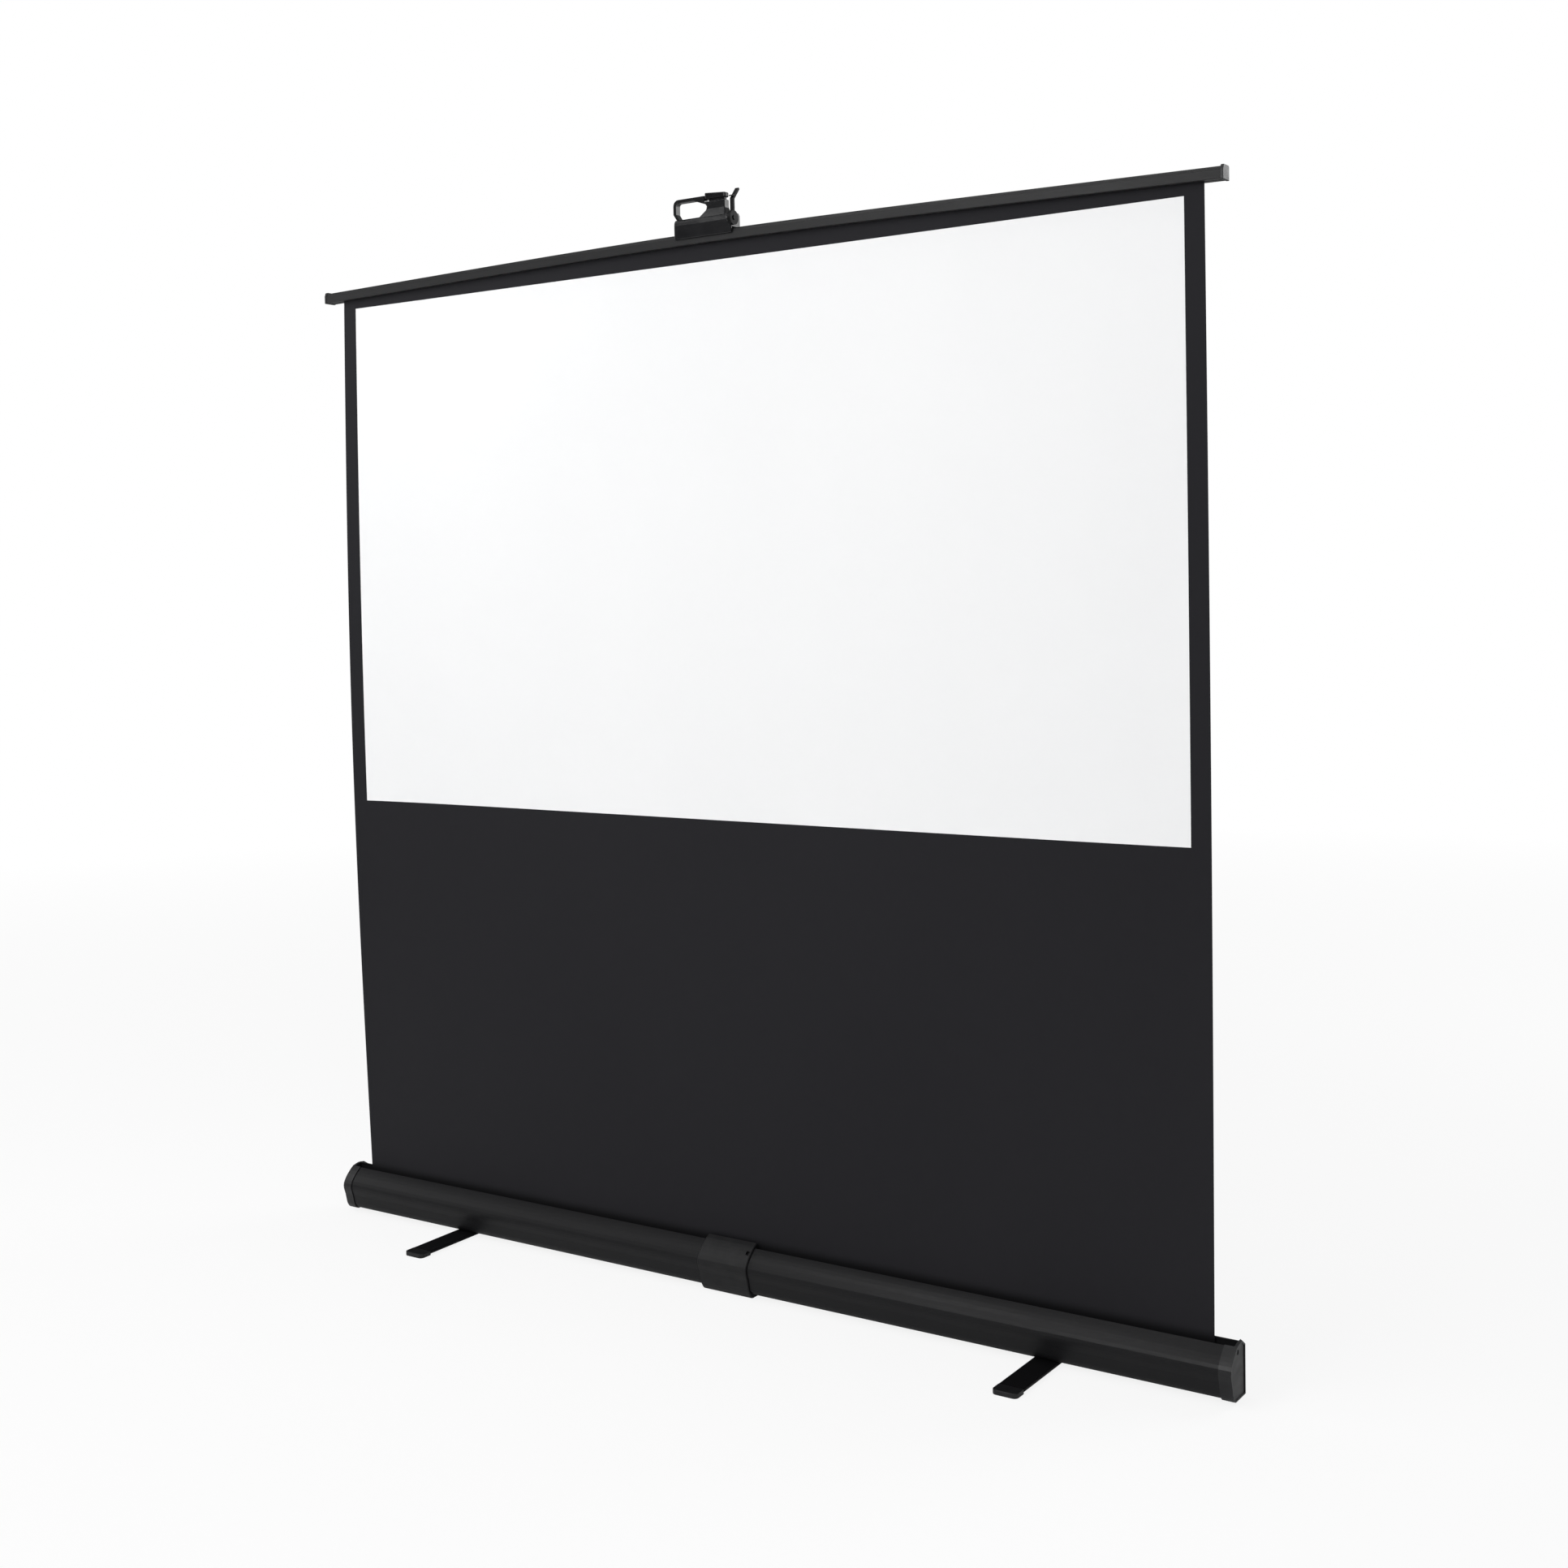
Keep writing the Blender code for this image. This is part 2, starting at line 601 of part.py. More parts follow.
def case_housing():
    """The extruded case: a front chamber with the fabric slot, and behind it an open channel for the arms."""
    front = case_front()
    inner = offset_path(front, -WALL)
    hem_y, hem_z = LIP_Y - WALL, LIP_Z - LIP_DROP
    outline = [(LIP_Y, hem_z)] + front
    outline += [(CASE_BACK_Y - CASE_EDGE, CASE_BOTTOM_Z), (CASE_BACK_Y, CASE_BOTTOM_Z + CASE_EDGE)]
    outline += [(CASE_BACK_Y, BACK_WALL_TOP_Z), (CHANNEL_BACK_Y, BACK_WALL_TOP_Z)]
    outline += [(CHANNEL_BACK_Y, CASE_FLOOR_Z), (CHANNEL_FRONT_Y, CASE_FLOOR_Z)]
    outline += [(CHANNEL_FRONT_Y, CASE_TOP_Z), (FABRIC_Y + SLOT_BACK, CASE_TOP_Z)]
    outline += [(FABRIC_Y + SLOT_BACK, CASE_TOP_Z - WALL), (PARTITION_Y, CASE_TOP_Z - WALL)]
    outline += [(PARTITION_Y, CASE_FLOOR_Z), (FLAT_BOTTOM_Y, CASE_FLOOR_Z)]
    outline += [(y, z) for y, z in reversed(inner) if z > CASE_FLOOR_Z + TOUCH and y < hem_y - TOUCH]
    outline += [(hem_y, LIP_Z - 1.5 * WALL), (hem_y, hem_z)]
    housing = along_x("case_housing", [outline], -HOUSING_HALF, HOUSING_HALF, "case_black")
    depth = WALL + JOIN
    for side in (-1, 1):
        hole = (side * FOOT_X, 0, CASE_BOTTOM_Z)
        drill(housing, "foot_hole_%d" % side, "Z", -depth, depth, PIN_RADIUS + RUNNING, hole)
    for i, (x, y) in enumerate(end_screw_places()):
        drill(housing, "end_hole_%d" % i, "Z", -depth, depth, SCREW_RADIUS + TOUCH, (x, y, CASE_BOTTOM_Z), 12)
    for i, (x, z) in enumerate(base_screw_places()):
        drill(housing, "back_hole_%d" % i, "Y", -depth, depth, SCREW_RADIUS + TOUCH, (x, CASE_BACK_Y, z), 12)
    return housing


def cap_outline(proud, taper=0.0):
    """The end cap's outline round the case's section, flush with its top, as (y, z)."""
    back_y, top_z = CASE_BACK_Y - taper, CASE_TOP_Z - CAP_PROUD
    path = case_front(CAP_BOTTOM_Z) + [(back_y, CAP_BOTTOM_Z), (back_y, BACK_WALL_TOP_Z)]
    path += [(CAP_TOP_BACK_Y - taper, top_z), ((LIP_Y + CAP_TOP_BACK_Y) / 2, top_z)]
    return offset_path([path[-1]] + path + [path[0]], proud)[1:-1]


def chamber_outline():
    """The section of the front chamber, drawn in by the touching gap, as (y, z)."""
    floor_z = CASE_FLOOR_Z + TOUCH
    top_z = LIP_Z - LIP_DROP - WALL
    walls = offset_path(case_front(), -WALL - TOUCH)
    path = [(y, z) for y, z in walls if floor_z < z < top_z]
    back_y = PARTITION_Y - TOUCH
    corner = (FLAT_BOTTOM_Y + WALL, floor_z)
    return [(back_y, top_z), (path[0][0] + WALL, top_z)] + path + [corner, (back_y, floor_z)]


def case_end_cap(name, side):
    """A moulded end cap: a rimmed plate with a sleeve round the case, and a plug that carries the roller."""
    inner_x, outer_x = side * CAP_INNER_X, side * (CAP_INNER_X + CAP_PLATE)
    sections = [(inner_x, [cap_outline(CAP_PROUD)])]
    sections.append((outer_x + side * CAP_RIM, [cap_outline(CAP_PROUD, CAP_TAPER)]))
    cap = add_mesh(name, loft(sections, lambda y, z, x: (x, y, z)), "cap_grey")
    floor = cap_outline(CAP_PROUD - CAP_RIM_WIDTH, CAP_TAPER)
    boolean(cap, along_x(name + "_recess", [floor], outer_x, outer_x + side * (CAP_RIM + JOIN)))
    into_plate = inner_x + side * JOIN
    front = cap_outline(CAP_PROUD)[: len(case_front())]
    sleeve = wrap_section(front + [(CAP_SLEEVE_BACK_Y, front[-1][1])], CAP_SLEEVE_BACK_Y)
    boolean(cap, along_x(name + "_sleeve", [sleeve], inner_x - side * CAP_SLEEVE, into_plate), "UNION")
    boolean(cap, along_x(name + "_plug", [chamber_outline()], side * PLUG_INNER_X, into_plate), "UNION")
    start, end = sorted((-side * JOIN, side * CAP_PLUG))
    drill(cap, "bore", "X", start, end, SPINDLE_RADIUS + RUNNING, (side * PLUG_INNER_X, ROLLER_Y, ROLLER_Z))
    dimple = (outer_x, CAP_DIMPLE_Y, CASE_TOP_Z - CAP_DIMPLE_DROP)
    drill(cap, "dimple", "X", -JOIN, JOIN, CAP_DIMPLE_RADIUS, dimple, 12)
    below = CAP_BOTTOM_Z - CAP_PROUD - JOIN
    above = CASE_FLOOR_Z + TOUCH + SCREW_GRIP + SCREW_HOLE_SPARE
    for i, (x, y) in enumerate(end_screw_places()):
        if x * side > 0:
            drill(cap, "hole_%d" % i, "Z", below, above, SCREW_RADIUS + TOUCH, (x, y, 0), 12)
    return cap


def case_end_screws():
    """Screws under the case that hold the end caps, through sleeve and case floor into the plug."""
    seat_z = CAP_BOTTOM_Z - CAP_PROUD - TOUCH
    length = CASE_FLOOR_Z + TOUCH + SCREW_GRIP - seat_z
    for i, (x, y) in enumerate(end_screw_places()):
        piece = screw("case_end_screw_%d" % (i + 1), length, "Z")
        piece.rotation_euler = (math.pi, 0, 0)
        piece.location = (x, y, seat_z)


def latch_band():
    """The moulded band round the middle of the case, with a deep sole and the catch for the latch hook."""

    start = [(LIP_Y + BAND_TOP_REACH, CASE_TOP_Z - TOUCH)]

    def section(proud):
        outer = offset_path(start + shoulder(), proud)
        outer += under_front(proud, BAND_GROUND_GAP + BAND_THICKNESS - proud)
        return [wrap_section(outer, BAND_BACK_Y, start)]

    left, right = BAND_X - BAND_WIDTH / 2, BAND_X + BAND_WIDTH / 2
    catch_left, catch_right = CATCH_X - CATCH_WIDTH / 2, CATCH_X + CATCH_WIDTH / 2
    slim, full = section(BAND_THICKNESS - BAND_EDGE), section(BAND_THICKNESS)
    stations = (left + BAND_EDGE, catch_left - JOIN, catch_right + JOIN / 2, right - BAND_EDGE)
    sections = [(left, slim)] + [(x, full) for x in stations] + [(right, slim)]
    band = add_mesh("latch_band", loft(sections, lambda y, z, x: (x, y, z)), "case_black")
    low, high = CATCH_Z - CATCH_HEIGHT / 2, CATCH_Z + CATCH_HEIGHT / 2
    catch = rounded_box(catch_left, catch_right, low, high, CATCH_CORNER)
    return boolean(band, flat_piece("catch_cutter", [catch], CASE_FRONT_Y, LIP_Y))


def sleeve_profile(half, outer, inner):
    """A tube's profile for turned(), from half its length and its two radii."""
    return [(-half, outer), (half, outer), (half, inner), (-half, inner)]


def roller():
    """The spring roller: tube, turning plugs, fixed spindle with its collar, and the spring between them."""
    bore = TUBE_BORE - TOUCH
    tube = sleeve_profile(TUBE_HALF, TUBE_RADIUS, TUBE_BORE)
    at(turned("roller_tube", tube, "X", "aluminium", 28), 0, ROLLER_Y, ROLLER_Z)
    wraps = sleeve_profile(FABRIC_HALF, WRAP_RADIUS, WRAP_RADIUS - WRAP_THICKNESS)
    at(turned("fabric_wraps", wraps, "X", "fabric_black", 28), 0, ROLLER_Y, ROLLER_Z)
    flange = TUBE_HALF + TOUCH
    pin_end = CAP_INNER_X - JOIN
    plug = stepped(
        (TUBE_HALF - PLUG_LENGTH, flange, bore),
        (flange, flange + PLUG_FLANGE, TUBE_RADIUS),
        (flange + PLUG_FLANGE, pin_end, SPINDLE_RADIUS),
    )
    at(turned("roller_plug_right", plug, "X", "cap_grey"), 0, ROLLER_Y, ROLLER_Z)
    running = SPINDLE_RADIUS + RUNNING
    seat = -TUBE_HALF + PLUG_LENGTH
    bearing = [(-flange - PLUG_FLANGE, running), (-flange - PLUG_FLANGE, TUBE_RADIUS), (-flange, TUBE_RADIUS)]
    bearing += [(-flange, bore), (seat, bore), (seat, SPRING_SEAT_RADIUS)]
    bearing += [(seat + PLUG_LENGTH, SPRING_SEAT_RADIUS), (seat + PLUG_LENGTH, running)]
    at(turned("roller_plug_left", bearing, "X", "cap_grey"), 0, ROLLER_Y, ROLLER_Z)
    collar = -pin_end + SPINDLE_LENGTH
    spindle = stepped(
        (-pin_end, collar, SPINDLE_RADIUS),
        (collar, collar + COLLAR_LENGTH, SPRING_SEAT_RADIUS),
        (collar + COLLAR_LENGTH, collar + 2 * COLLAR_LENGTH, SPINDLE_RADIUS),
    )
    at(turned("roller_spindle", spindle, "X", "steel"), 0, ROLLER_Y, ROLLER_Z)
    start = seat + ROLLER_SPRING_END_GAP
    end = collar + COLLAR_LENGTH - ROLLER_SPRING_END_GAP
    pitch = (end - start) / ROLLER_SPRING_TURNS

    def around(a, b, along):
        return (start + along, ROLLER_Y + a, ROLLER_Z + b)

    points = coil(ROLLER_SPRING_RADIUS, pitch, ROLLER_SPRING_TURNS, around)
    print_least_gap("roller_spring", points, ROLLER_SPRING_WIRE)
    wire("roller_spring", points, ROLLER_SPRING_WIRE, "steel")


def involute(radius):
    """The involute angle of a gear flank at a radius."""
    angle = math.acos(min(1, GEAR_RADIUS * math.cos(PRESSURE_ANGLE) / radius))
    return math.tan(angle) - angle


def tooth(centre):
    """One involute tooth's outline about an angle, counter-clockwise."""
    base = GEAR_RADIUS * math.cos(PRESSURE_ANGLE)
    root = GEAR_RADIUS - 1.25 * GEAR_MODULE
    tip = GEAR_RADIUS + 0.92 * GEAR_MODULE
    half_pitch_angle = math.pi / (2 * GEAR_TEETH) - BACKLASH / 4 / GEAR_RADIUS
    flank = []
    for radius in [root] + [base + (tip - base) * i / 4 for i in range(5)]:
        half = half_pitch_angle + involute(GEAR_RADIUS) - involute(max(radius, base))
        flank.append((radius, half))
    lower = [(r * math.cos(centre - h), r * math.sin(centre - h)) for r, h in flank]
    upper = [(r * math.cos(centre + h), r * math.sin(centre + h)) for r, h in reversed(flank)]
    return lower + upper


def arm_outline(teeth_side, phase):
    """An arm with its geared end at the origin and its elbow along +X. The phase is a share of a pitch."""
    pitch = 2 * math.pi / GEAR_TEETH
    first = math.pi - RAISED_ANGLE
    swept = math.ceil((RAISED_ANGLE - CLOSED_ANGLE) / pitch)
    edge = math.asin(ARM_WIDTH / 2 / ARM_END_RADIUS)
    outline = []
    for k in range(0 if phase < 0 else -1, swept + 2):
        outline += tooth(first + (k + phase) * pitch)
    last = first + (swept + 1.6) * pitch
    outline += arc((0, 0), ARM_END_RADIUS, last, 2 * math.pi - edge, 5)
    outline += arc((ARM_LENGTH, 0), ARM_END_RADIUS, edge - math.pi, math.pi - edge, 14)
    outline.append((ARM_END_RADIUS * math.cos(edge), ARM_WIDTH / 2))
    return [(x, teeth_side * z) for x, z in outline]


def arm(name, side, upper):
    """One arm, hung on its lower pivot. Left gears have a tooth where the right ones have a gap."""
    teeth_side = -side if upper else side
    outline = arm_outline(teeth_side, 0 if side < 0 else -0.5)
    if upper:
        outline = [(ARM_LENGTH - x, -z) for x, z in outline]
    hole = PIN_RADIUS + RUNNING
    loops = [outline, circle(0, 0, hole), circle(ARM_LENGTH, 0, hole)]
    y = UPPER_ARM_Y if upper else LOWER_ARM_Y
    piece = flat_piece(name, loops, y, y + ARM_THICKNESS, "arm_black")
    leans_left = (side < 0) != upper
    lean = math.pi - RAISED_ANGLE if leans_left else RAISED_ANGLE
    if upper:
        return at(piece, side * ELBOW_X, 0, ELBOW_Z, -lean)
    return at(piece, side * GEAR_RADIUS, 0, PIVOT_Z, -lean)


def rivet(name, x, z, front_y, back_y):
    """A pivot pin along Y with a head in front of front_y and one behind back_y."""
    profile = stepped(
        (front_y - TOUCH - PIN_HEAD, front_y - TOUCH, PIN_HEAD_RADIUS),
        (front_y - TOUCH, back_y + TOUCH, PIN_RADIUS),
        (back_y + TOUCH, back_y + TOUCH + PIN_HEAD, PIN_HEAD_RADIUS),
    )
    return at(turned(name, profile, "Y", "steel", 16), x, 0, z)


def elbow(name, side):
    """An elbow's pin, and the torsion spring round it that helps the arms open."""
    x = side * ELBOW_X
    rivet("elbow_pin_" + name, x, ELBOW_Z, UPPER_ARM_Y, LOWER_ARM_Y + ARM_THICKNESS)
    front = UPPER_ARM_Y + ARM_THICKNESS + TOUCH + ELBOW_SPRING_WIRE / 2
    back = LOWER_ARM_Y - TOUCH - ELBOW_SPRING_WIRE / 2
    start, end = math.pi / 2 + RAISED_ANGLE, -math.pi / 2 - RAISED_ANGLE + 6 * math.pi
    points = [leg_point(side, RAISED_ANGLE, front, leg) for leg in (ELBOW_SPRING_LEG, ELBOW_SPRING_LEG / 2)]
    for i in range(ELBOW_SPRING_STEPS + 1):
        share = i / ELBOW_SPRING_STEPS
        angle = start + (end - start) * share
        y = front + (back - front) * share
        across = ELBOW_SPRING_RADIUS * math.cos(angle)
        points.append((x - side * across, y, ELBOW_Z + ELBOW_SPRING_RADIUS * math.sin(angle)))
    points += [leg_point(side, -RAISED_ANGLE, back, leg) for leg in (ELBOW_SPRING_LEG / 2, ELBOW_SPRING_LEG)]
    print_least_gap("elbow_spring_" + name, points[2:-2], ELBOW_SPRING_WIRE)
    wire("elbow_spring_" + name, points, ELBOW_SPRING_WIRE, "steel")


def leg_point(side, angle, y, along):
    """A point on a spring leg that runs from the coil's rim along an arm."""
    rim = math.pi / 2 + angle if angle > 0 else angle - math.pi / 2
    a = ELBOW_SPRING_RADIUS * math.cos(rim) + along * math.cos(angle)
    b = ELBOW_SPRING_RADIUS * math.sin(rim) + along * math.sin(angle)
    return (side * (ELBOW_X - a), y, ELBOW_Z + b)


def lift():
    """The geared knee lift: base plate, four arms, elbows, top plate and their pins."""
    for name, side in (("left", -1), ("right", 1)):
        arm("arm_lower_" + name, side, False)
        arm("arm_upper_" + name, side, True)
        elbow(name, side)
    hole = PIN_RADIUS + RUNNING
    screw_hole = SCREW_RADIUS + TOUCH
    low, high = PIVOT_Z - BASE_PLATE_BOTTOM, PIVOT_Z + BASE_PLATE_TOP
    loops = [rounded_box(-BASE_PLATE_HALF, BASE_PLATE_HALF, low, high, PLATE_CORNER)]
    loops += [circle(side * GEAR_RADIUS, PIVOT_Z, hole) for side in (-1, 1)]
    loops += [circle(x, z, screw_hole, 12) for x, z in base_screw_places()]
    flat_piece("lift_base_plate", loops, BASE_PLATE_Y, BASE_PLATE_BACK_Y, "steel")
    for i, (x, z) in enumerate(base_screw_places()):
        piece = screw("base_plate_screw_%d" % (i + 1), CASE_BACK_Y - BASE_PLATE_Y, "Y")
        at(piece, x, CASE_BACK_Y + TOUCH, z)
    for name, side in (("left", -1), ("right", 1)):
        profile = stepped(
            (LOWER_ARM_Y - TOUCH - PIN_HEAD, LOWER_ARM_Y - TOUCH, PIN_HEAD_RADIUS),
            (LOWER_ARM_Y - TOUCH, BASE_PLATE_BACK_Y - TOUCH, PIN_RADIUS),
        )
        at(turned("base_pin_" + name, profile, "Y", "steel", 16), side * GEAR_RADIUS, 0, PIVOT_Z)
    top_plate()


def top_screw_places():
    """Screws behind the top plate: the lower pair enters the bar, the upper pair the handle."""
    x = BAR_X + BASE_RIGHT - TOP_SCREW_INSET
    lower_z, upper_z = BAR_TOP_Z - BAR_SCREW_DROP, BAR_TOP_Z + BASE_TOP / 2
    return [(side * x, z) for side in (-1, 1) for z in (lower_z, upper_z)]


def top_plate():
    """The plate behind the bar and handle, with its tongue down to the upper pivots, its pins and screws."""
    wide = BAR_X + BASE_RIGHT - TOP_PLATE_INSET
    high, ledge = BAR_TOP_Z + BASE_TOP - TOP_PLATE_DROP, BAR_BOTTOM_Z + JOIN
    low = TOP_PIVOT_Z - TONGUE_DROP
    corner = PLATE_CORNER
    half = arc((TONGUE_HALF - corner, low + corner), corner, -math.pi / 2, 0, 3)
    half += arc((TONGUE_HALF + corner, ledge - corner), corner, math.pi, math.pi / 2, 3)
    half += arc((wide - corner, ledge + corner), corner, -math.pi / 2, 0, 3)
    half += arc((wide - corner, high - corner), corner, 0, math.pi / 2, 3)
    outline = half + [(-x, z) for x, z in reversed(half)]
    loops = [outline]
    loops += [circle(side * GEAR_RADIUS, TOP_PIVOT_Z, PIN_RADIUS + RUNNING) for side in (-1, 1)]
    loops += [circle(x, z, SCREW_RADIUS + TOUCH, 12) for x, z in top_screw_places()]
    back = TOP_PLATE_Y + TOP_PLATE
    flat_piece("top_plate", loops, TOP_PLATE_Y, back, "steel")
    for name, side in (("left", -1), ("right", 1)):
        rivet("top_pin_" + name, side * GEAR_RADIUS, TOP_PIVOT_Z, UPPER_ARM_Y, back)
    for i, (x, z) in enumerate(top_screw_places()):
        at(screw("top_plate_screw_%d" % (i + 1), TOP_PLATE + SCREW_GRIP, "Y"), x, back + TOUCH, z)


def bar_outline(grow=0.0, rise=0.0, grooved=True):
    """The header bar's section with its stepped, rounded crown, as (y, z)."""
    front, back = BAR_FRONT_Y - grow, BAR_BACK_Y + grow
    bottom, top = BAR_BOTTOM_Z - grow, BAR_TOP_Z + grow + rise
    step_y = front + BAR_STEP
    start, end = (step_y, top - BAR_CROWN), (step_y + BAR_CROWN, top)
    crown = bezier(start, (step_y, top - 0.3 * BAR_CROWN), (step_y + 0.3 * BAR_CROWN, top), end, 4)
    outline = [(front, bottom + BAR_EDGE), (front, top - BAR_CROWN - BAR_EDGE)] + crown
    outline += [(back - BAR_CORNER, top), (back, top - BAR_CORNER), (back, bottom)]
    if grooved:
        roof = bottom + BAR_WALL + GROOVE_CAVITY_HEIGHT
        half = [(GROOVE_HALF, bottom), (GROOVE_HALF, bottom + BAR_WALL)]
        half += [(GROOVE_CAVITY_HALF, bottom + BAR_WALL), (GROOVE_CAVITY_HALF, roof)]
        outline += [(FABRIC_Y + y, z) for y, z in half]
        outline += [(FABRIC_Y - y, z) for y, z in reversed(half)]
    return outline + [(front + BAR_EDGE, bottom)]


def bar_void():
    """The hollow inside the header bar, round its groove, as (y, z)."""
    low, top = BAR_BOTTOM_Z + BAR_WALL, BAR_TOP_Z - BAR_WALL
    roof = low + GROOVE_CAVITY_HEIGHT + BAR_WALL
    inner = GROOVE_CAVITY_HALF + BAR_WALL
    front, back = BAR_FRONT_Y + BAR_WALL, BAR_BACK_Y - BAR_WALL
    void = [(front, low), (front, top - BAR_CROWN), (front + BAR_STEP, top - BAR_CROWN + BAR_STEP)]
    void += [(front + 2 * BAR_STEP + BAR_WALL, top), (back - MM, top), (back, top - MM), (back, low)]
    groove_back, groove_front = FABRIC_Y + inner, FABRIC_Y - inner
    return void + [(groove_back, low), (groove_back, roof), (groove_front, roof), (groove_front, low)]


def header_bar():
    """The bowed header bar, its end caps and the spline that holds the fabric in its groove."""
    left, right = BAR_X - BAR_PROFILE_HALF, BAR_X + BAR_PROFILE_HALF
    bar = along_bow("header_bar", [bar_outline(), bar_void()], left, right, 16, "case_black")
    depth = BAR_WALL + JOIN
    for i, (x, z) in enumerate(top_screw_places()):
        if z < BAR_TOP_Z:
            drill(bar, "hole_%d" % i, "Y", -depth, JOIN, SCREW_RADIUS + TOUCH, (x, BAR_BACK_Y, z), 12)
    spline = circle(FABRIC_Y, SPLINE_Z, SPLINE_RADIUS, 8)
    along_bow("fabric_spline", [spline], -FABRIC_HALF, FABRIC_HALF, 16, "cap_grey")
    roof = BAR_BOTTOM_Z + 2 * BAR_WALL + GROOVE_CAVITY_HEIGHT + TOUCH
    for name, side in (("left", -1), ("right", 1)):
        near = BAR_X + side * (BAR_PROFILE_HALF + TOUCH)
        far = BAR_X + side * BAR_HALF
        start, end = sorted((near, far))
        outline = bar_outline(BAR_CAP_PROUD, BAR_CAP_RISE, False)
        cap = along_bow("header_cap_" + name, [outline], start, end, 1, "cap_grey")
        start, end = sorted((near - side * BAR_PLUG, near + side * JOIN))
        low, high = roof, BAR_TOP_Z - BAR_WALL - 2 * TOUCH
        plug = rounded_box(BAR_FRONT_Y + BAR_PLUG_FRONT, BAR_BACK_Y - BAR_WALL - MM, low, high, MM, 2)
        tongue = along_bow("header_plug_" + name, [plug], start, end, 1)
        boolean(bevel(cap, BAR_CAP_ROUND, 2, 60), tongue, "UNION")


def curl(x, z):
    """How far the fabric leaves its plane: its side edges curl, most at half height."""
    low, high = CASE_TOP_Z, BAR_END_BOTTOM_Z
    reach = max(0.0, (abs(x) - (FABRIC_HALF - CURL_WIDTH)) / CURL_WIDTH)
    if z <= low or z >= high:
        return 0.0
    depth = LEFT_EDGE_CURL if x < 0 else RIGHT_EDGE_CURL
    return depth * reach**3 * math.sin(math.pi * (z - low) / (high - low))


def screen_fabric():
    """The hanging fabric with its curled side edges: a white picture area inside black borders."""
    picture = WHITE_WIDTH / 2
    columns = [-FABRIC_HALF] + [picture * (2 * i / 20 - 1) for i in range(21)] + [FABRIC_HALF]
    white_top = WHITE_BOTTOM_Z + WHITE_HEIGHT
    rows = [ROLLER_Z, CASE_TOP_Z] + [CASE_TOP_Z + (WHITE_BOTTOM_Z - CASE_TOP_Z) * i / 6 for i in range(1, 7)]
    rows += [WHITE_BOTTOM_Z + WHITE_HEIGHT * i / 8 for i in range(1, 9)]
    bm = bmesh.new()
    sheets = []
    for shift in (-FABRIC_THICKNESS / 2, FABRIC_THICKNESS / 2):
        grid = [[bm.verts.new((x, FABRIC_Y + shift + curl(x, z), z)) for z in rows] for x in columns]
        for line, x in zip(grid, columns):
            line.append(bm.verts.new((x, FABRIC_Y + shift, FABRIC_TOP_Z + bow(x))))
        sheets.append(grid)
    rows.append(FABRIC_TOP_Z)
    for grid in sheets:
        for i in range(len(columns) - 1):
            for j in range(len(rows) - 1):
                face = bm.faces.new((grid[i][j], grid[i + 1][j], grid[i + 1][j + 1], grid[i][j + 1]))
                middle_x = abs(columns[i] + columns[i + 1]) / 2
                white = middle_x < picture and WHITE_BOTTOM_Z <= rows[j] < white_top - TOUCH
                face.material_index = 0 if white else 1
    front, back = sheets
    rim = [(i, 0) for i in range(len(columns))] + [(len(columns) - 1, j) for j in range(1, len(rows))]
    rim += [(i, len(rows) - 1) for i in range(len(columns) - 2, -1, -1)]
    rim += [(0, j) for j in range(len(rows) - 2, 0, -1)]
    for (i, j), (k, m) in zip(rim, rim[1:] + rim[:1]):
        bm.faces.new((front[i][j], front[k][m], back[k][m], back[i][j])).material_index = 1
    fabric = add_mesh("screen_fabric", bm, "fabric_white")
    fabric.data.materials.append(material("fabric_black"))


def handle_strap():
    """The carrying loop and the tower's front view as one outline with its finger opening."""
    base_z = BASE_TOP - STRAP_SINK
    left, top, inner = STRAP_LEFT, STRAP_TOP, STRAP_LEFT + STRAP
    root_x = left + STRAP_FOOT + STRAP_SINK
    waist = (left + STRAP_FOOT - STRAP_WAIST, BASE_TOP + STRAP_WAIST)
    bend_z = BASE_TOP + STRAP_CORNER
    outline = [(root_x, base_z - MM), waist, (left, bend_z)]
    outline += arc((left + STRAP_CORNER, top - STRAP_CORNER), STRAP_CORNER, math.pi, math.pi / 2, 5)
    strap_end = BUTTON_LEFT - 2 * TOUCH
    outline += [(strap_end, top), (strap_end, TOWER_TOP), (TOWER_RIGHT, TOWER_TOP)]
    outline += [(TOWER_RIGHT, BASE_TOP + TOWER_FOOT), (TOWER_RIGHT + STRAP_SINK, base_z - MM)]
    corner = STRAP_CORNER - STRAP
    opening = [(root_x + STRAP, base_z), (waist[0] + STRAP, waist[1]), (inner, bend_z)]
    opening += arc((inner + corner, top - STRAP - corner), corner, math.pi, math.pi / 2, 4)
    opening += [(TOWER_LEFT - OPENING_TOP_RUN, top - STRAP), (TOWER_LEFT - STRAP / 2, top - TOWER_FOOT)]
    side, foot = (TOWER_LEFT, top - OPENING_SIDE_DROP), (TOWER_LEFT - OPENING_FOOT_RUN, base_z)
    first = (TOWER_LEFT, BASE_TOP + 0.6 * TOWER_FOOT)
    second = (TOWER_LEFT - 0.4 * OPENING_FOOT_RUN, BASE_TOP + 0.2 * TOWER_FOOT)
    opening += bezier(side, first, second, foot, 5)
    return [[(BAR_X + x, BAR_TOP_Z + z) for x, z in loop] for loop in (outline, opening)]


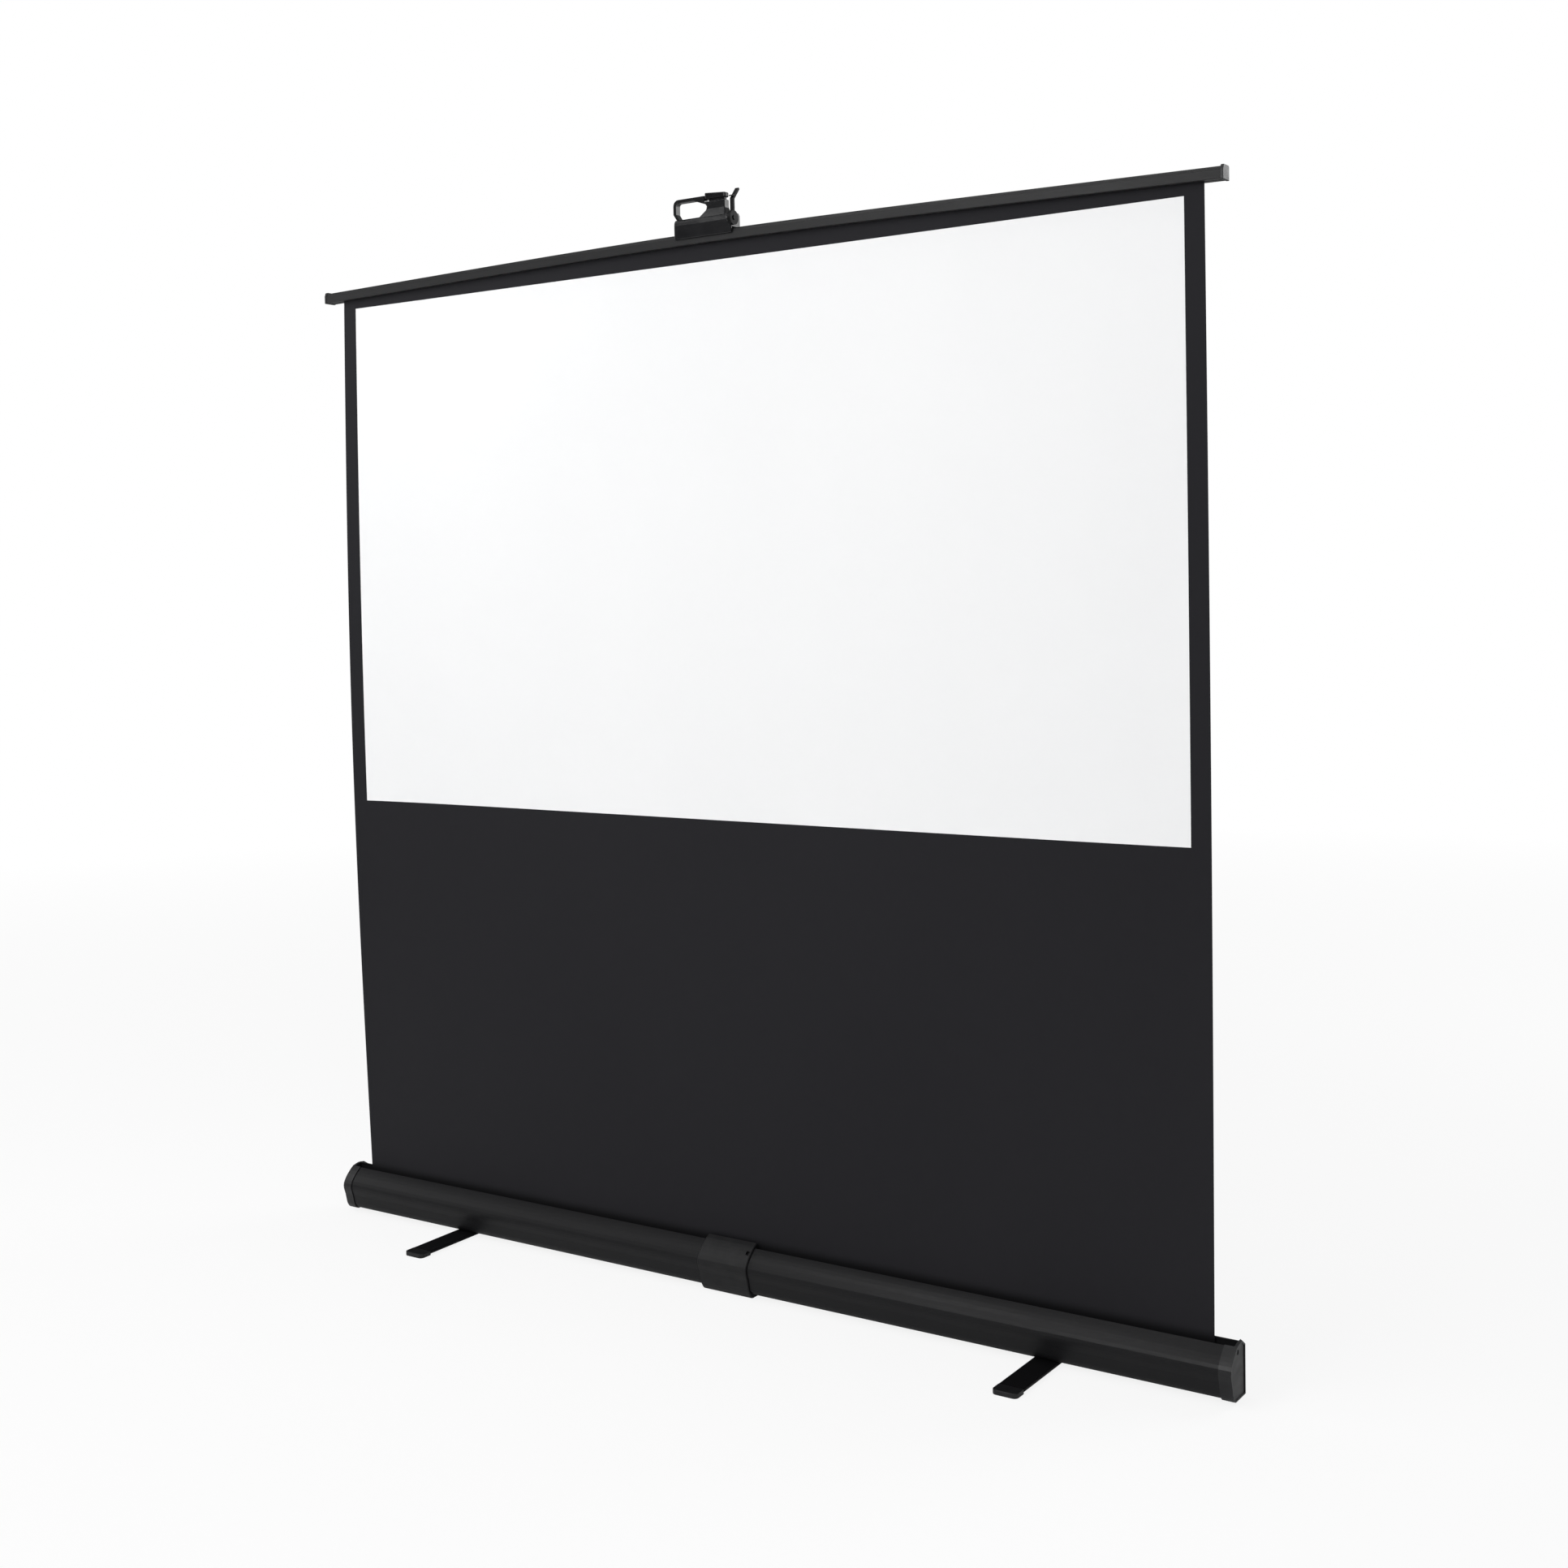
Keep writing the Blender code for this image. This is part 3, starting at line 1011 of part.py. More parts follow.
def tower_foot():
    """The flare that widens the tower down into the handle's base."""
    low = BAR_TOP_Z + BASE_TOP - TOWER_FOOT_SINK
    front, back = BASE_FRONT_Y + TOWER_FOOT_CORNER, BAR_BACK_Y - JOIN
    wide = rounded_box(TOWER_LEFT - TOWER_FOOT, TOWER_RIGHT + STRAP, front, back, TOWER_FOOT_CORNER)
    left, right = TOWER_LEFT - TOWER_SKIN, TOWER_RIGHT - TOWER_SKIN
    slim = rounded_box(left, right, STRAP_FRONT_Y + TOWER_SKIN, STRAP_BACK_Y - TOWER_SKIN, TOWER_CORNER)
    flare = loft([(low, [wide]), (low + TOWER_FOOT, [slim])], lambda x, y, z: (BAR_X + x, y, z))
    return add_mesh("handle_foot", flare)


def handle_body():
    """The moulded handle: a base astride the bar, the carrying loop, and the tower with its flared foot."""
    low_z, top_z = BAR_TOP_Z + TOUCH, BAR_TOP_Z + BASE_TOP
    inner_y = BAR_FRONT_Y - TOUCH
    profile = [(BASE_FRONT_Y, BAR_TOP_Z - BASE_SKIRT)]
    profile += bezier(
        (BASE_FRONT_Y, BAR_TOP_Z + BASE_SHOULDER),
        (BASE_FRONT_Y, top_z - 0.5 * BASE_CROWN),
        (BASE_FRONT_Y + 0.4 * BASE_CROWN, top_z),
        (BASE_FRONT_Y + BASE_CROWN, top_z),
        4,
    )
    profile += [(BAR_BACK_Y - BASE_CHAMFER, top_z), (BAR_BACK_Y, top_z - BASE_CHAMFER)]
    profile += [(BAR_BACK_Y, low_z), (inner_y, low_z), (inner_y, BAR_TOP_Z - BASE_SKIRT)]
    body = along_x("handle_body", [profile], BAR_X + BASE_LEFT, BAR_X + BASE_RIGHT, "handle_black")
    bevel(body, BASE_ROUND, 2, 50)
    strap = flat_piece("handle_strap", handle_strap(), STRAP_FRONT_Y, STRAP_BACK_Y)
    boolean(body, bevel(strap, STRAP_ROUND, 2, 50), "UNION")
    boolean(body, tower_foot(), "UNION")
    depth = SCREW_GRIP + SCREW_HOLE_SPARE
    for i, (x, z) in enumerate(top_screw_places()):
        if z > BAR_TOP_Z:
            drill(body, "hole_%d" % i, "Y", -depth, JOIN, SCREW_RADIUS + TOUCH, (x, BAR_BACK_Y, z), 12)
    boss = stepped((-LATCH_BOSS, 0, LATCH_BOSS_RADIUS))
    boss_x = BAR_X + BASE_RIGHT
    boolean(body, at(turned("handle_boss", boss, "X"), boss_x, LEVER_Y, LEVER_Z), "UNION")
    pin_hole = LATCH_PIN_RADIUS + RUNNING
    drill(body, "pin_hole", "X", -LATCH_BOSS + JOIN, JOIN, pin_hole, (boss_x, LEVER_Y, LEVER_Z))
    half = BUTTON_NECK_DEPTH / 2 + RUNNING
    left, right = BUTTON_NECK_LEFT - RUNNING, BUTTON_NECK_RIGHT + RUNNING
    pocket = rounded_box(left, right, FABRIC_Y - half, FABRIC_Y + half, MM, 2)
    boolean(body, level_piece("handle_pocket", [pocket], BUTTON_POCKET_Z, BAR_TOP_Z + TOWER_TOP + JOIN))
    return body


def release_button():
    """The push button on top of the tower, with its neck in the tower's pocket and the spring below it."""
    bottom, top = BAR_TOP_Z + BUTTON_UNDERSIDE, BAR_TOP_Z + BUTTON_TOP
    y0, y1 = STRAP_FRONT_Y - TOUCH, STRAP_BACK_Y + TOUCH
    outline = rounded_box(BUTTON_LEFT, BUTTON_RIGHT, y0, y1, BUTTON_CORNER)

    def sloped(x, y, z):
        share = (x - BUTTON_LEFT) / (BUTTON_RIGHT - BUTTON_LEFT) if z == top else 0
        return (BAR_X + x, y, z - BUTTON_SLOPE * share)

    head = loft([(bottom, [outline]), (top, [outline])], sloped)
    button = add_mesh("release_button", head, "button_black")
    bevel(button, BUTTON_ROUND, 2, 60)
    half = BUTTON_NECK_DEPTH / 2
    neck = rounded_box(BUTTON_NECK_LEFT, BUTTON_NECK_RIGHT, FABRIC_Y - half, FABRIC_Y + half, MM, 2)
    neck_top = bottom + BUTTON_NECK_SINK
    boolean(button, level_piece("button_neck", [neck], BUTTON_NECK_Z, neck_top), "UNION")
    base_z = BUTTON_NECK_Z - TOUCH - BUTTON_SPRING_LENGTH + BUTTON_SPRING_WIRE / 2

    def around(a, b, along):
        return (BUTTON_X + a, FABRIC_Y + b, base_z + along)

    pitch = (BUTTON_SPRING_LENGTH - BUTTON_SPRING_WIRE) / BUTTON_SPRING_TURNS
    points = coil(BUTTON_SPRING_RADIUS, pitch, BUTTON_SPRING_TURNS, around)
    print_least_gap("button_spring", points, BUTTON_SPRING_WIRE)
    wire("button_spring", points, BUTTON_SPRING_WIRE, "steel")


def latch_lever():
    """The latch lever: a round hub on its pin, an arm with a hook nose, and a tab that leans back."""
    half = LEVER_THICKNESS / 2
    start = math.asin(half / HUB_RADIUS)
    outline = arc((0, 0), HUB_RADIUS, math.pi / 2 + start, 2.5 * math.pi - start, 26)
    lean = Vector((math.sin(LEVER_LEAN), math.cos(LEVER_LEAN)))
    across = Vector((lean.y, -lean.x)) * half
    bend = Vector((0, LEVER_LENGTH))
    tip = bend + lean * LEVER_TAB
    mitre = half * math.tan(LEVER_LEAN / 2)
    outline.append((half, LEVER_LENGTH - mitre))
    outline += [tuple(tip + across - lean * MM), tuple(tip + across * 0.5), tuple(tip - across * 0.5)]
    outline.append(tuple(tip - across - lean * MM))
    hook_end = HOOK_START + HOOK_THICKNESS
    over, under = (bend - across + lean * (h - LEVER_LENGTH) / lean.y for h in (hook_end, HOOK_START))
    outline += [tuple(over), (-HOOK_REACH, hook_end - MM), (-HOOK_REACH, HOOK_START), tuple(under)]
    outline.append((-half, LEVER_LENGTH + mitre))
    lever = along_x("latch_lever", [outline], 0, LEVER_WIDTH, "button_black")
    at(lever, LEVER_X, LEVER_Y, LEVER_Z)
    hole = LATCH_PIN_RADIUS + RUNNING
    drill(lever, "hole", "X", -JOIN, LEVER_WIDTH + JOIN, hole, (LEVER_X, LEVER_Y, LEVER_Z))
    outer = LEVER_WIDTH + TOUCH
    pin = stepped(
        (-RUNNING - LATCH_BOSS + JOIN + TOUCH, outer, LATCH_PIN_RADIUS),
        (outer, outer + PIN_HEAD, 2 * LATCH_PIN_RADIUS),
    )
    at(turned("latch_pin", pin, "X", "steel", 16), LEVER_X, LEVER_Y, LEVER_Z)


def crosswise(a, z, y):
    """Places a foot's section point (a, z) at a station along Y."""
    return (a, y, z)


def foot(name, side):
    """One turning foot: a flat tube across the case, its two moulded tips and the bolt it turns on."""
    x = side * FOOT_X
    half = FOOT_WIDTH / 2
    section = rounded_box(-half, half, FOOT_BOTTOM_Z, FOOT_TOP_Z, FOOT_CORNER, 2)
    wall = FOOT_WALL
    void = rounded_box(-half + wall, half - wall, FOOT_BOTTOM_Z + wall, FOOT_TOP_Z - wall, MM, 2)
    lofted = loft([(-FOOT_TUBE_HALF, [section, void]), (FOOT_TUBE_HALF, [section, void])], crosswise)
    tube = at(add_mesh("foot_" + name, lofted, "case_black"), x)
    drill(tube, "hole", "Z", -JOIN, FOOT_TOP_Z + JOIN, PIN_RADIUS + RUNNING, (x, 0, 0))
    for end, y_side in (("front", -1), ("back", 1)):
        near, far = FOOT_LENGTH / 2 - FOOT_CAP, FOOT_LENGTH / 2
        corner = FOOT_CAP_CORNER
        outline = [(-half, near), (-half, far - corner)]
        outline += arc((-half + corner, far - corner), corner, math.pi, math.pi / 2, 4)[1:]
        outline += arc((half - corner, far - corner), corner, math.pi / 2, 0, 4)
        outline += [(half, near)]
        loops = [[(a, y_side * b) for a, b in outline]]
        tip = level_piece("foot_tip_%s_%s" % (name, end), loops, 0, FOOT_TOP_Z, "cap_grey")
        at(bevel(tip, MM, 2, 60), x)
        inset = wall + TOUCH
        inner = rounded_box(-half + inset, half - inset, FOOT_BOTTOM_Z + inset, FOOT_TOP_Z - inset, MM / 2, 1)
        start, stop = sorted((y_side * (near - FOOT_CAP_PLUG), y_side * (near + FOOT_CAP_SINK)))
        plug = add_mesh("%s_plug" % tip.name, loft([(start, [inner]), (stop, [inner])], crosswise))
        boolean(tip, at(plug, x), "UNION")
    low = FOOT_BOTTOM_Z - TOUCH
    high = CASE_FLOOR_Z + TOUCH
    bolt = stepped(
        (low - FOOT_BOLT_HEAD, low, FOOT_BOLT_HEAD_RADIUS),
        (low, high, PIN_RADIUS),
        (high, high + FOOT_BOLT_HEAD, FOOT_BOLT_HEAD_RADIUS),
    )
    at(turned("foot_bolt_" + name, bolt, "Z", "steel", 20), x)


def main():
    """Clears the scene and builds the projector screen."""
    for obj in list(bpy.data.objects):
        bpy.data.objects.remove(obj)
    case_housing()
    case_end_cap("case_end_cap_left", -1)
    case_end_cap("case_end_cap_right", 1)
    case_end_screws()
    latch_band()
    roller()
    lift()
    header_bar()
    screen_fabric()
    handle_body()
    release_button()
    latch_lever()
    foot("left", -1)
    foot("right", 1)


main()
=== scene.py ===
"""Looks of the pop-up floor projector screen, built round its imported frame.

Metres, +Z up. The picture faces -Y.
"""

import logging
import math
from dataclasses import dataclass
from enum import Enum

import bpy
from mathutils import Matrix, Vector


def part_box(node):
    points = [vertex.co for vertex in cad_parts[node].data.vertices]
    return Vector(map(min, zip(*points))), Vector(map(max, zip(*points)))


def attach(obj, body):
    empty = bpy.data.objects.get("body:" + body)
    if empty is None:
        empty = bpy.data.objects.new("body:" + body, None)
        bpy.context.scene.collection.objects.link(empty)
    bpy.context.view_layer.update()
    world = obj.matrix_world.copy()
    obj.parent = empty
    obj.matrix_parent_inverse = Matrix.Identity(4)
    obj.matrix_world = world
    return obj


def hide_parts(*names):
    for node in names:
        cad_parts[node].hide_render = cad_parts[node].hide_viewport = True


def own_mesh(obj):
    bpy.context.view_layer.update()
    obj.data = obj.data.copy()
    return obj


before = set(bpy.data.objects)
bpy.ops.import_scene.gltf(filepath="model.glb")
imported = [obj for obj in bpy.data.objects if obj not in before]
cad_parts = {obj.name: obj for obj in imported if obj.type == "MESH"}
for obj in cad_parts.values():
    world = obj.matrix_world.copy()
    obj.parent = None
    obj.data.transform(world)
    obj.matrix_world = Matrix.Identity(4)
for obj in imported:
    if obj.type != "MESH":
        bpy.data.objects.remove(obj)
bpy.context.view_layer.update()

FULL_TURN = 2 * math.pi
WELD_GAP = 0.000005
UP = Vector((0, 0, 1))
DOWN = Vector((0, 0, -1))
BACKWARD = Vector((0, 1, 0))
Colour = tuple[float, float, float]
Point = tuple[float, float, float]
Range = tuple[float, float]
log = logging.getLogger("projector_screen")


class Side(Enum):
    """The two ends of the screen, as the frame's nodes name them."""

    LEFT = "left"
    RIGHT = "right"


class Zone(Enum):
    """The parts of the sheet with a finish of their own, in the order of its material slots."""

    PICTURE = 0
    BORDER = 1
    BACK = 2


class Graph:
    """The node graph of one material, added to a step at a time."""

    NOISE_LOW = 0.3
    NOISE_HIGH = 0.7

    def __init__(self, name: str) -> None:
        """Starts a material.

        Args:
            name: The material's name.
        """
        self.material = bpy.data.materials.new(name)
        self.material.use_nodes = True
        self.tree = self.material.node_tree
        self.tree.nodes.clear()
        self.out = self.tree.nodes.new("ShaderNodeOutputMaterial")

    def add(self, kind: str, inputs: dict | None = None, **settings: object) -> bpy.types.Node:
        """Adds a node.

        Args:
            kind: The node's type, without its ShaderNode prefix.
            inputs: Values or sockets by input name or index.
            settings: Properties of the node.

        Returns:
            The new node.
        """
        node = self.tree.nodes.new("ShaderNode" + kind)
        for key, value in settings.items():
            setattr(node, key, value)
        for key, value in (inputs or {}).items():
            if isinstance(value, bpy.types.NodeSocket):
                self.tree.links.new(value, node.inputs[key])
            else:
                node.inputs[key].default_value = value
        return node

    def combine(self, operation: str, *values: object) -> bpy.types.NodeSocket:
        """Combines values by a Math node.

        Args:
            operation: What the node does.
            values: Numbers or sockets, in the node's order.

        Returns:
            The value socket.
        """
        return self.add("Math", dict(enumerate(values)), operation=operation).outputs[0]

    def place(self, stretch: Point = (1.0, 1.0, 1.0)) -> bpy.types.NodeSocket:
        """Object coordinates, stretched.

        Args:
            stretch: The scale along each axis.

        Returns:
            The vector socket.
        """
        coordinates = self.add("TexCoord").outputs["Object"]
        return self.add("Mapping", {"Vector": coordinates, "Scale": stretch}).outputs["Vector"]

    def noise(
        self, vector: bpy.types.NodeSocket, scale: float = 1.0, detail: float = 3.0
    ) -> bpy.types.NodeSocket:
        """Cloudy variation from 0 to 1.

        Args:
            vector: Where the pattern is read.
            scale: How fine it is, in features per metre.
            detail: How many finer layers it has.

        Returns:
            The factor socket.
        """
        inputs = {"Vector": vector, "Scale": scale, "Detail": detail}
        return self.add("TexNoise", inputs).outputs["Fac"]

    def span(self, factor: bpy.types.NodeSocket, low: float, high: float) -> bpy.types.NodeSocket:
        """Spreads the middle of a noise over a range.

        Args:
            factor: The noise.
            low: The value where the noise is low.
            high: The value where the noise is high.

        Returns:
            The value socket.
        """
        source = {"Value": factor, "From Min": self.NOISE_LOW, "From Max": self.NOISE_HIGH}
        return self.add("MapRange", {**source, "To Min": low, "To Max": high}).outputs["Result"]

    def tones(
        self, factor: bpy.types.NodeSocket, first: Colour, second: Colour
    ) -> bpy.types.NodeSocket:
        """Mixes two tones by a factor.

        Args:
            factor: The share of the second tone, spread over the middle of a noise.
            first: The tone at low values.
            second: The tone at high values.

        Returns:
            The colour socket.
        """
        ramp = self.add("ValToRGB", {"Fac": factor})
        stops = ((self.NOISE_LOW, first), (self.NOISE_HIGH, second))
        for element, (position, tone) in zip(ramp.color_ramp.elements, stops):
            element.position = position
            element.color = (*tone, 1.0)
        return ramp.outputs["Color"]

    def bump(
        self,
        height: bpy.types.NodeSocket,
        depth: float,
        strength: float,
        under: bpy.types.NodeSocket | None = None,
    ) -> bpy.types.NodeSocket:
        """Raises a surface by a height pattern.

        Args:
            height: The pattern, from 0 to 1.
            depth: The relief in metres.
            strength: The share of the relief that shows.
            under: The normal of a bump below this one.

        Returns:
            The normal socket.
        """
        inputs = {"Height": height, "Distance": depth, "Strength": strength}
        if under is not None:
            inputs["Normal"] = under
        return self.add("Bump", inputs).outputs["Normal"]

    def finish(self, **inputs: object) -> bpy.types.Material:
        """Closes the graph with a Principled shader.

        Args:
            inputs: Values or sockets by the shader's input name, with _ for a space.

        Returns:
            The finished material.
        """
        named = {key.replace("_", " "): value for key, value in inputs.items()}
        shader = self.add("BsdfPrincipled", named)
        self.tree.links.new(shader.outputs["BSDF"], self.out.inputs["Surface"])
        return self.material


@dataclass(frozen=True)
class ExtrudedPaint:
    """Satin black paint on a long extrusion: die lines along X, a fine grain and rub marks."""

    name: str
    dark: Colour = (0.0050, 0.0050, 0.0056)
    light: Colour = (0.0090, 0.0090, 0.0098)
    gloss: Range = (0.34, 0.46)
    specular: float = 0.17
    line_stretch: Point = (1.5, 420.0, 420.0)
    line_detail: float = 4.0
    line_depth: float = 0.00006
    grain_per_metre: float = 1400.0
    grain_detail: float = 2.0
    grain_depth: float = 0.00004
    relief: float = 0.5
    tone_lift: float = 0.5
    cloud_stretch: Point = (3.0, 18.0, 18.0)
    rub_stretch: Point = (60.0, 900.0, 900.0)
    rub_detail: float = 5.0
    rub_gloss: Range = (-0.05, 0.05)

    def make(self) -> bpy.types.Material:
        """Makes the material.

        Returns:
            The material.
        """
        graph = Graph(self.name)
        lines = graph.noise(graph.place(self.line_stretch), detail=self.line_detail)
        grain = graph.noise(graph.place(), self.grain_per_metre, self.grain_detail)
        clouds = graph.noise(graph.place(self.cloud_stretch))
        rubs = graph.noise(graph.place(self.rub_stretch), detail=self.rub_detail)
        normal = graph.bump(lines, self.line_depth, self.relief)
        normal = graph.bump(grain, self.grain_depth, self.relief, normal)
        share = graph.combine("MULTIPLY_ADD", lines, clouds, self.tone_lift)
        tone = graph.tones(share, self.dark, self.light)
        worn = graph.span(rubs, *self.rub_gloss)
        gloss = graph.combine("ADD", graph.span(clouds, *self.gloss), worn)
        return graph.finish(
            Base_Color=tone, Roughness=gloss, Normal=normal, Specular_IOR_Level=self.specular
        )


@dataclass(frozen=True)
class MouldedPlastic:
    """Moulded plastic with a fine sparked texture from its tool and slightly uneven gloss."""

    name: str
    dark: Colour = (0.012, 0.012, 0.013)
    light: Colour = (0.018, 0.018, 0.019)
    gloss: Range = (0.42, 0.54)
    specular: float = 0.25
    grain_per_metre: float = 1900.0
    grain_detail: float = 2.0
    grain_depth: float = 0.00003
    grain_relief: float = 0.6
    grain_gloss: Range = (-0.03, 0.03)
    clouds_per_metre: float = 38.0
    handled_stretch: Point = (40.0, 40.0, 90.0)
    handled_detail: float = 6.0

    def make(self) -> bpy.types.Material:
        """Makes the material.

        Returns:
            The material.
        """
        graph = Graph(self.name)
        grain = graph.noise(graph.place(), self.grain_per_metre, self.grain_detail)
        clouds = graph.noise(graph.place(), self.clouds_per_metre)
        handled = graph.noise(graph.place(self.handled_stretch), detail=self.handled_detail)
        normal = graph.bump(grain, self.grain_depth, self.grain_relief)
        tone = graph.tones(clouds, self.dark, self.light)
        fine = graph.span(grain, *self.grain_gloss)
        gloss = graph.combine("ADD", graph.span(handled, *self.gloss), fine)
        return graph.finish(
            Base_Color=tone, Roughness=gloss, Normal=normal, Specular_IOR_Level=self.specular
        )


@dataclass(frozen=True)
class PlatedSteel:
    """Zinc-plated steel: clouded bright metal with rolling marks."""

    name: str
    dark: Colour = (0.36, 0.36, 0.37)
    light: Colour = (0.58, 0.58, 0.57)
    gloss: Range = (0.24, 0.42)
    rolling_stretch: Point = (25.0, 25.0, 1600.0)
    rolling_depth: float = 0.00003
    rolling_relief: float = 0.6
    spangles_per_metre: float = 240.0
    spangle_detail: float = 2.0

    def make(self) -> bpy.types.Material:
        """Makes the material.

        Returns:
            The material.
        """
        graph = Graph(self.name)
        rolled = graph.noise(graph.place(self.rolling_stretch))
        spangle = graph.noise(graph.place(), self.spangles_per_metre, self.spangle_detail)
        normal = graph.bump(rolled, self.rolling_depth, self.rolling_relief)
        tone = graph.tones(spangle, self.dark, self.light)
        gloss = graph.span(rolled, *self.gloss)
        return graph.finish(Base_Color=tone, Roughness=gloss, Metallic=1.0, Normal=normal)


@dataclass(frozen=True)
class PowderCoat:
    """Black powder coat on flat steel, with its orange peel."""

    name: str
    dark: Colour = (0.016, 0.016, 0.017)
    light: Colour = (0.026, 0.026, 0.027)
    gloss: Range = (0.34, 0.46)
    peel_per_metre: float = 620.0
    peel_detail: float = 2.0
    peel_depth: float = 0.00016
    peel_relief: float = 0.5
    clouds_per_metre: float = 30.0
    cloud_detail: float = 4.0

    def make(self) -> bpy.types.Material:
        """Makes the material.

        Returns:
            The material.
        """
        graph = Graph(self.name)
        peel = graph.noise(graph.place(), self.peel_per_metre, self.peel_detail)
        clouds = graph.noise(graph.place(), self.clouds_per_metre, self.cloud_detail)
        normal = graph.bump(peel, self.peel_depth, self.peel_relief)
        tone = graph.tones(clouds, self.dark, self.light)
        return graph.finish(
            Base_Color=tone, Roughness=graph.span(peel, *self.gloss), Normal=normal
        )


@dataclass(frozen=True)
class Cloth:
    """Coated woven cloth: a plain weave under the coat, slubs, and long waves in its tone."""

    WAVE_PHASE = 20

    name: str
    dark: Colour
    light: Colour
    roughness: float = 0.85
    specular: float = 0.25
    sheen: float = 0.0
    sheen_roughness: float = 0.5
    thread_pitch: float = 0.0008
    thread_depth: float = 0.00006
    thread_relief: float = 0.5
    thread_wander: float = 0.4
    thread_detail: float = 1.0
    slub_stretch: Point = (900.0, 900.0, 90.0)
    slub_relief: float = 0.4
    cloud_stretch: Point = (1.6, 1.6, 0.8)
    soft_detail: float = 2.0
    # painted shade for the slot: the height where it is darkest, the height where it ends, and the
    # share of the tone left at its darkest
    painted_slot_shade: tuple[float, float, float] | None = None

    def weave(self, graph: Graph) -> bpy.types.NodeSocket:
        """The threads of a plain weave.

        Args:
            graph: The material's graph.

        Returns:
            The height socket.
        """
        inputs = {
            "Scale": FULL_TURN / self.WAVE_PHASE / self.thread_pitch,
            "Distortion": self.thread_wander,
            "Detail": self.thread_detail,
        }
        bands = [
            graph.add(
                "TexWave",
                {"Vector": graph.place(), **inputs},
                wave_type="BANDS",
                bands_direction=direction,
            ).outputs["Fac"]
            for direction in ("X", "Z")
        ]
        return graph.combine("MAXIMUM", *bands)

    def shade(self, graph: Graph, tone: bpy.types.NodeSocket) -> bpy.types.NodeSocket:
        """Paints shade on the cloth where it goes down into its slot: the tone darkens towards the
        bottom, standing in for the slot's shadow, and stays darkest on everything below.

        Args:
            graph: The material's graph.
            tone: The cloth's tone.

        Returns:
            The colour socket.
        """
        low, high, share = self.painted_slot_shade
        # painted shade: the tone is multiplied down below the given heights, where the slot's
        # shadow would fall
        height = graph.add("SeparateXYZ", {0: graph.place()}).outputs["Z"]
        fade = {"Value": height, "From Min": low, "From Max": high, "To Min": share, "To Max": 1.0}
        depth = graph.add("MapRange", fade, interpolation_type="SMOOTHSTEP").outputs["Result"]
        return graph.add("VectorMath", {0: tone, 1: depth}, operation="MULTIPLY").outputs["Vector"]

    def make(self) -> bpy.types.Material:
        """Makes the material.

        Returns:
            The material.
        """
        graph = Graph(self.name)
        normal = graph.bump(self.weave(graph), self.thread_depth, self.thread_relief)
        slubs = graph.noise(graph.place(self.slub_stretch), detail=self.soft_detail)
        normal = graph.bump(slubs, self.thread_depth / 2, self.slub_relief, normal)
        clouds = graph.noise(graph.place(self.cloud_stretch), detail=self.soft_detail)
        tone = graph.tones(clouds, self.dark, self.light)
        # painted shade in the slot, when it is given
        if self.painted_slot_shade:
            tone = self.shade(graph, tone)
        return graph.finish(
            Base_Color=tone,
            Roughness=self.roughness,
            Specular_IOR_Level=self.specular,
            Sheen_Weight=self.sheen,
            Sheen_Roughness=self.sheen_roughness,
            Normal=normal,
        )


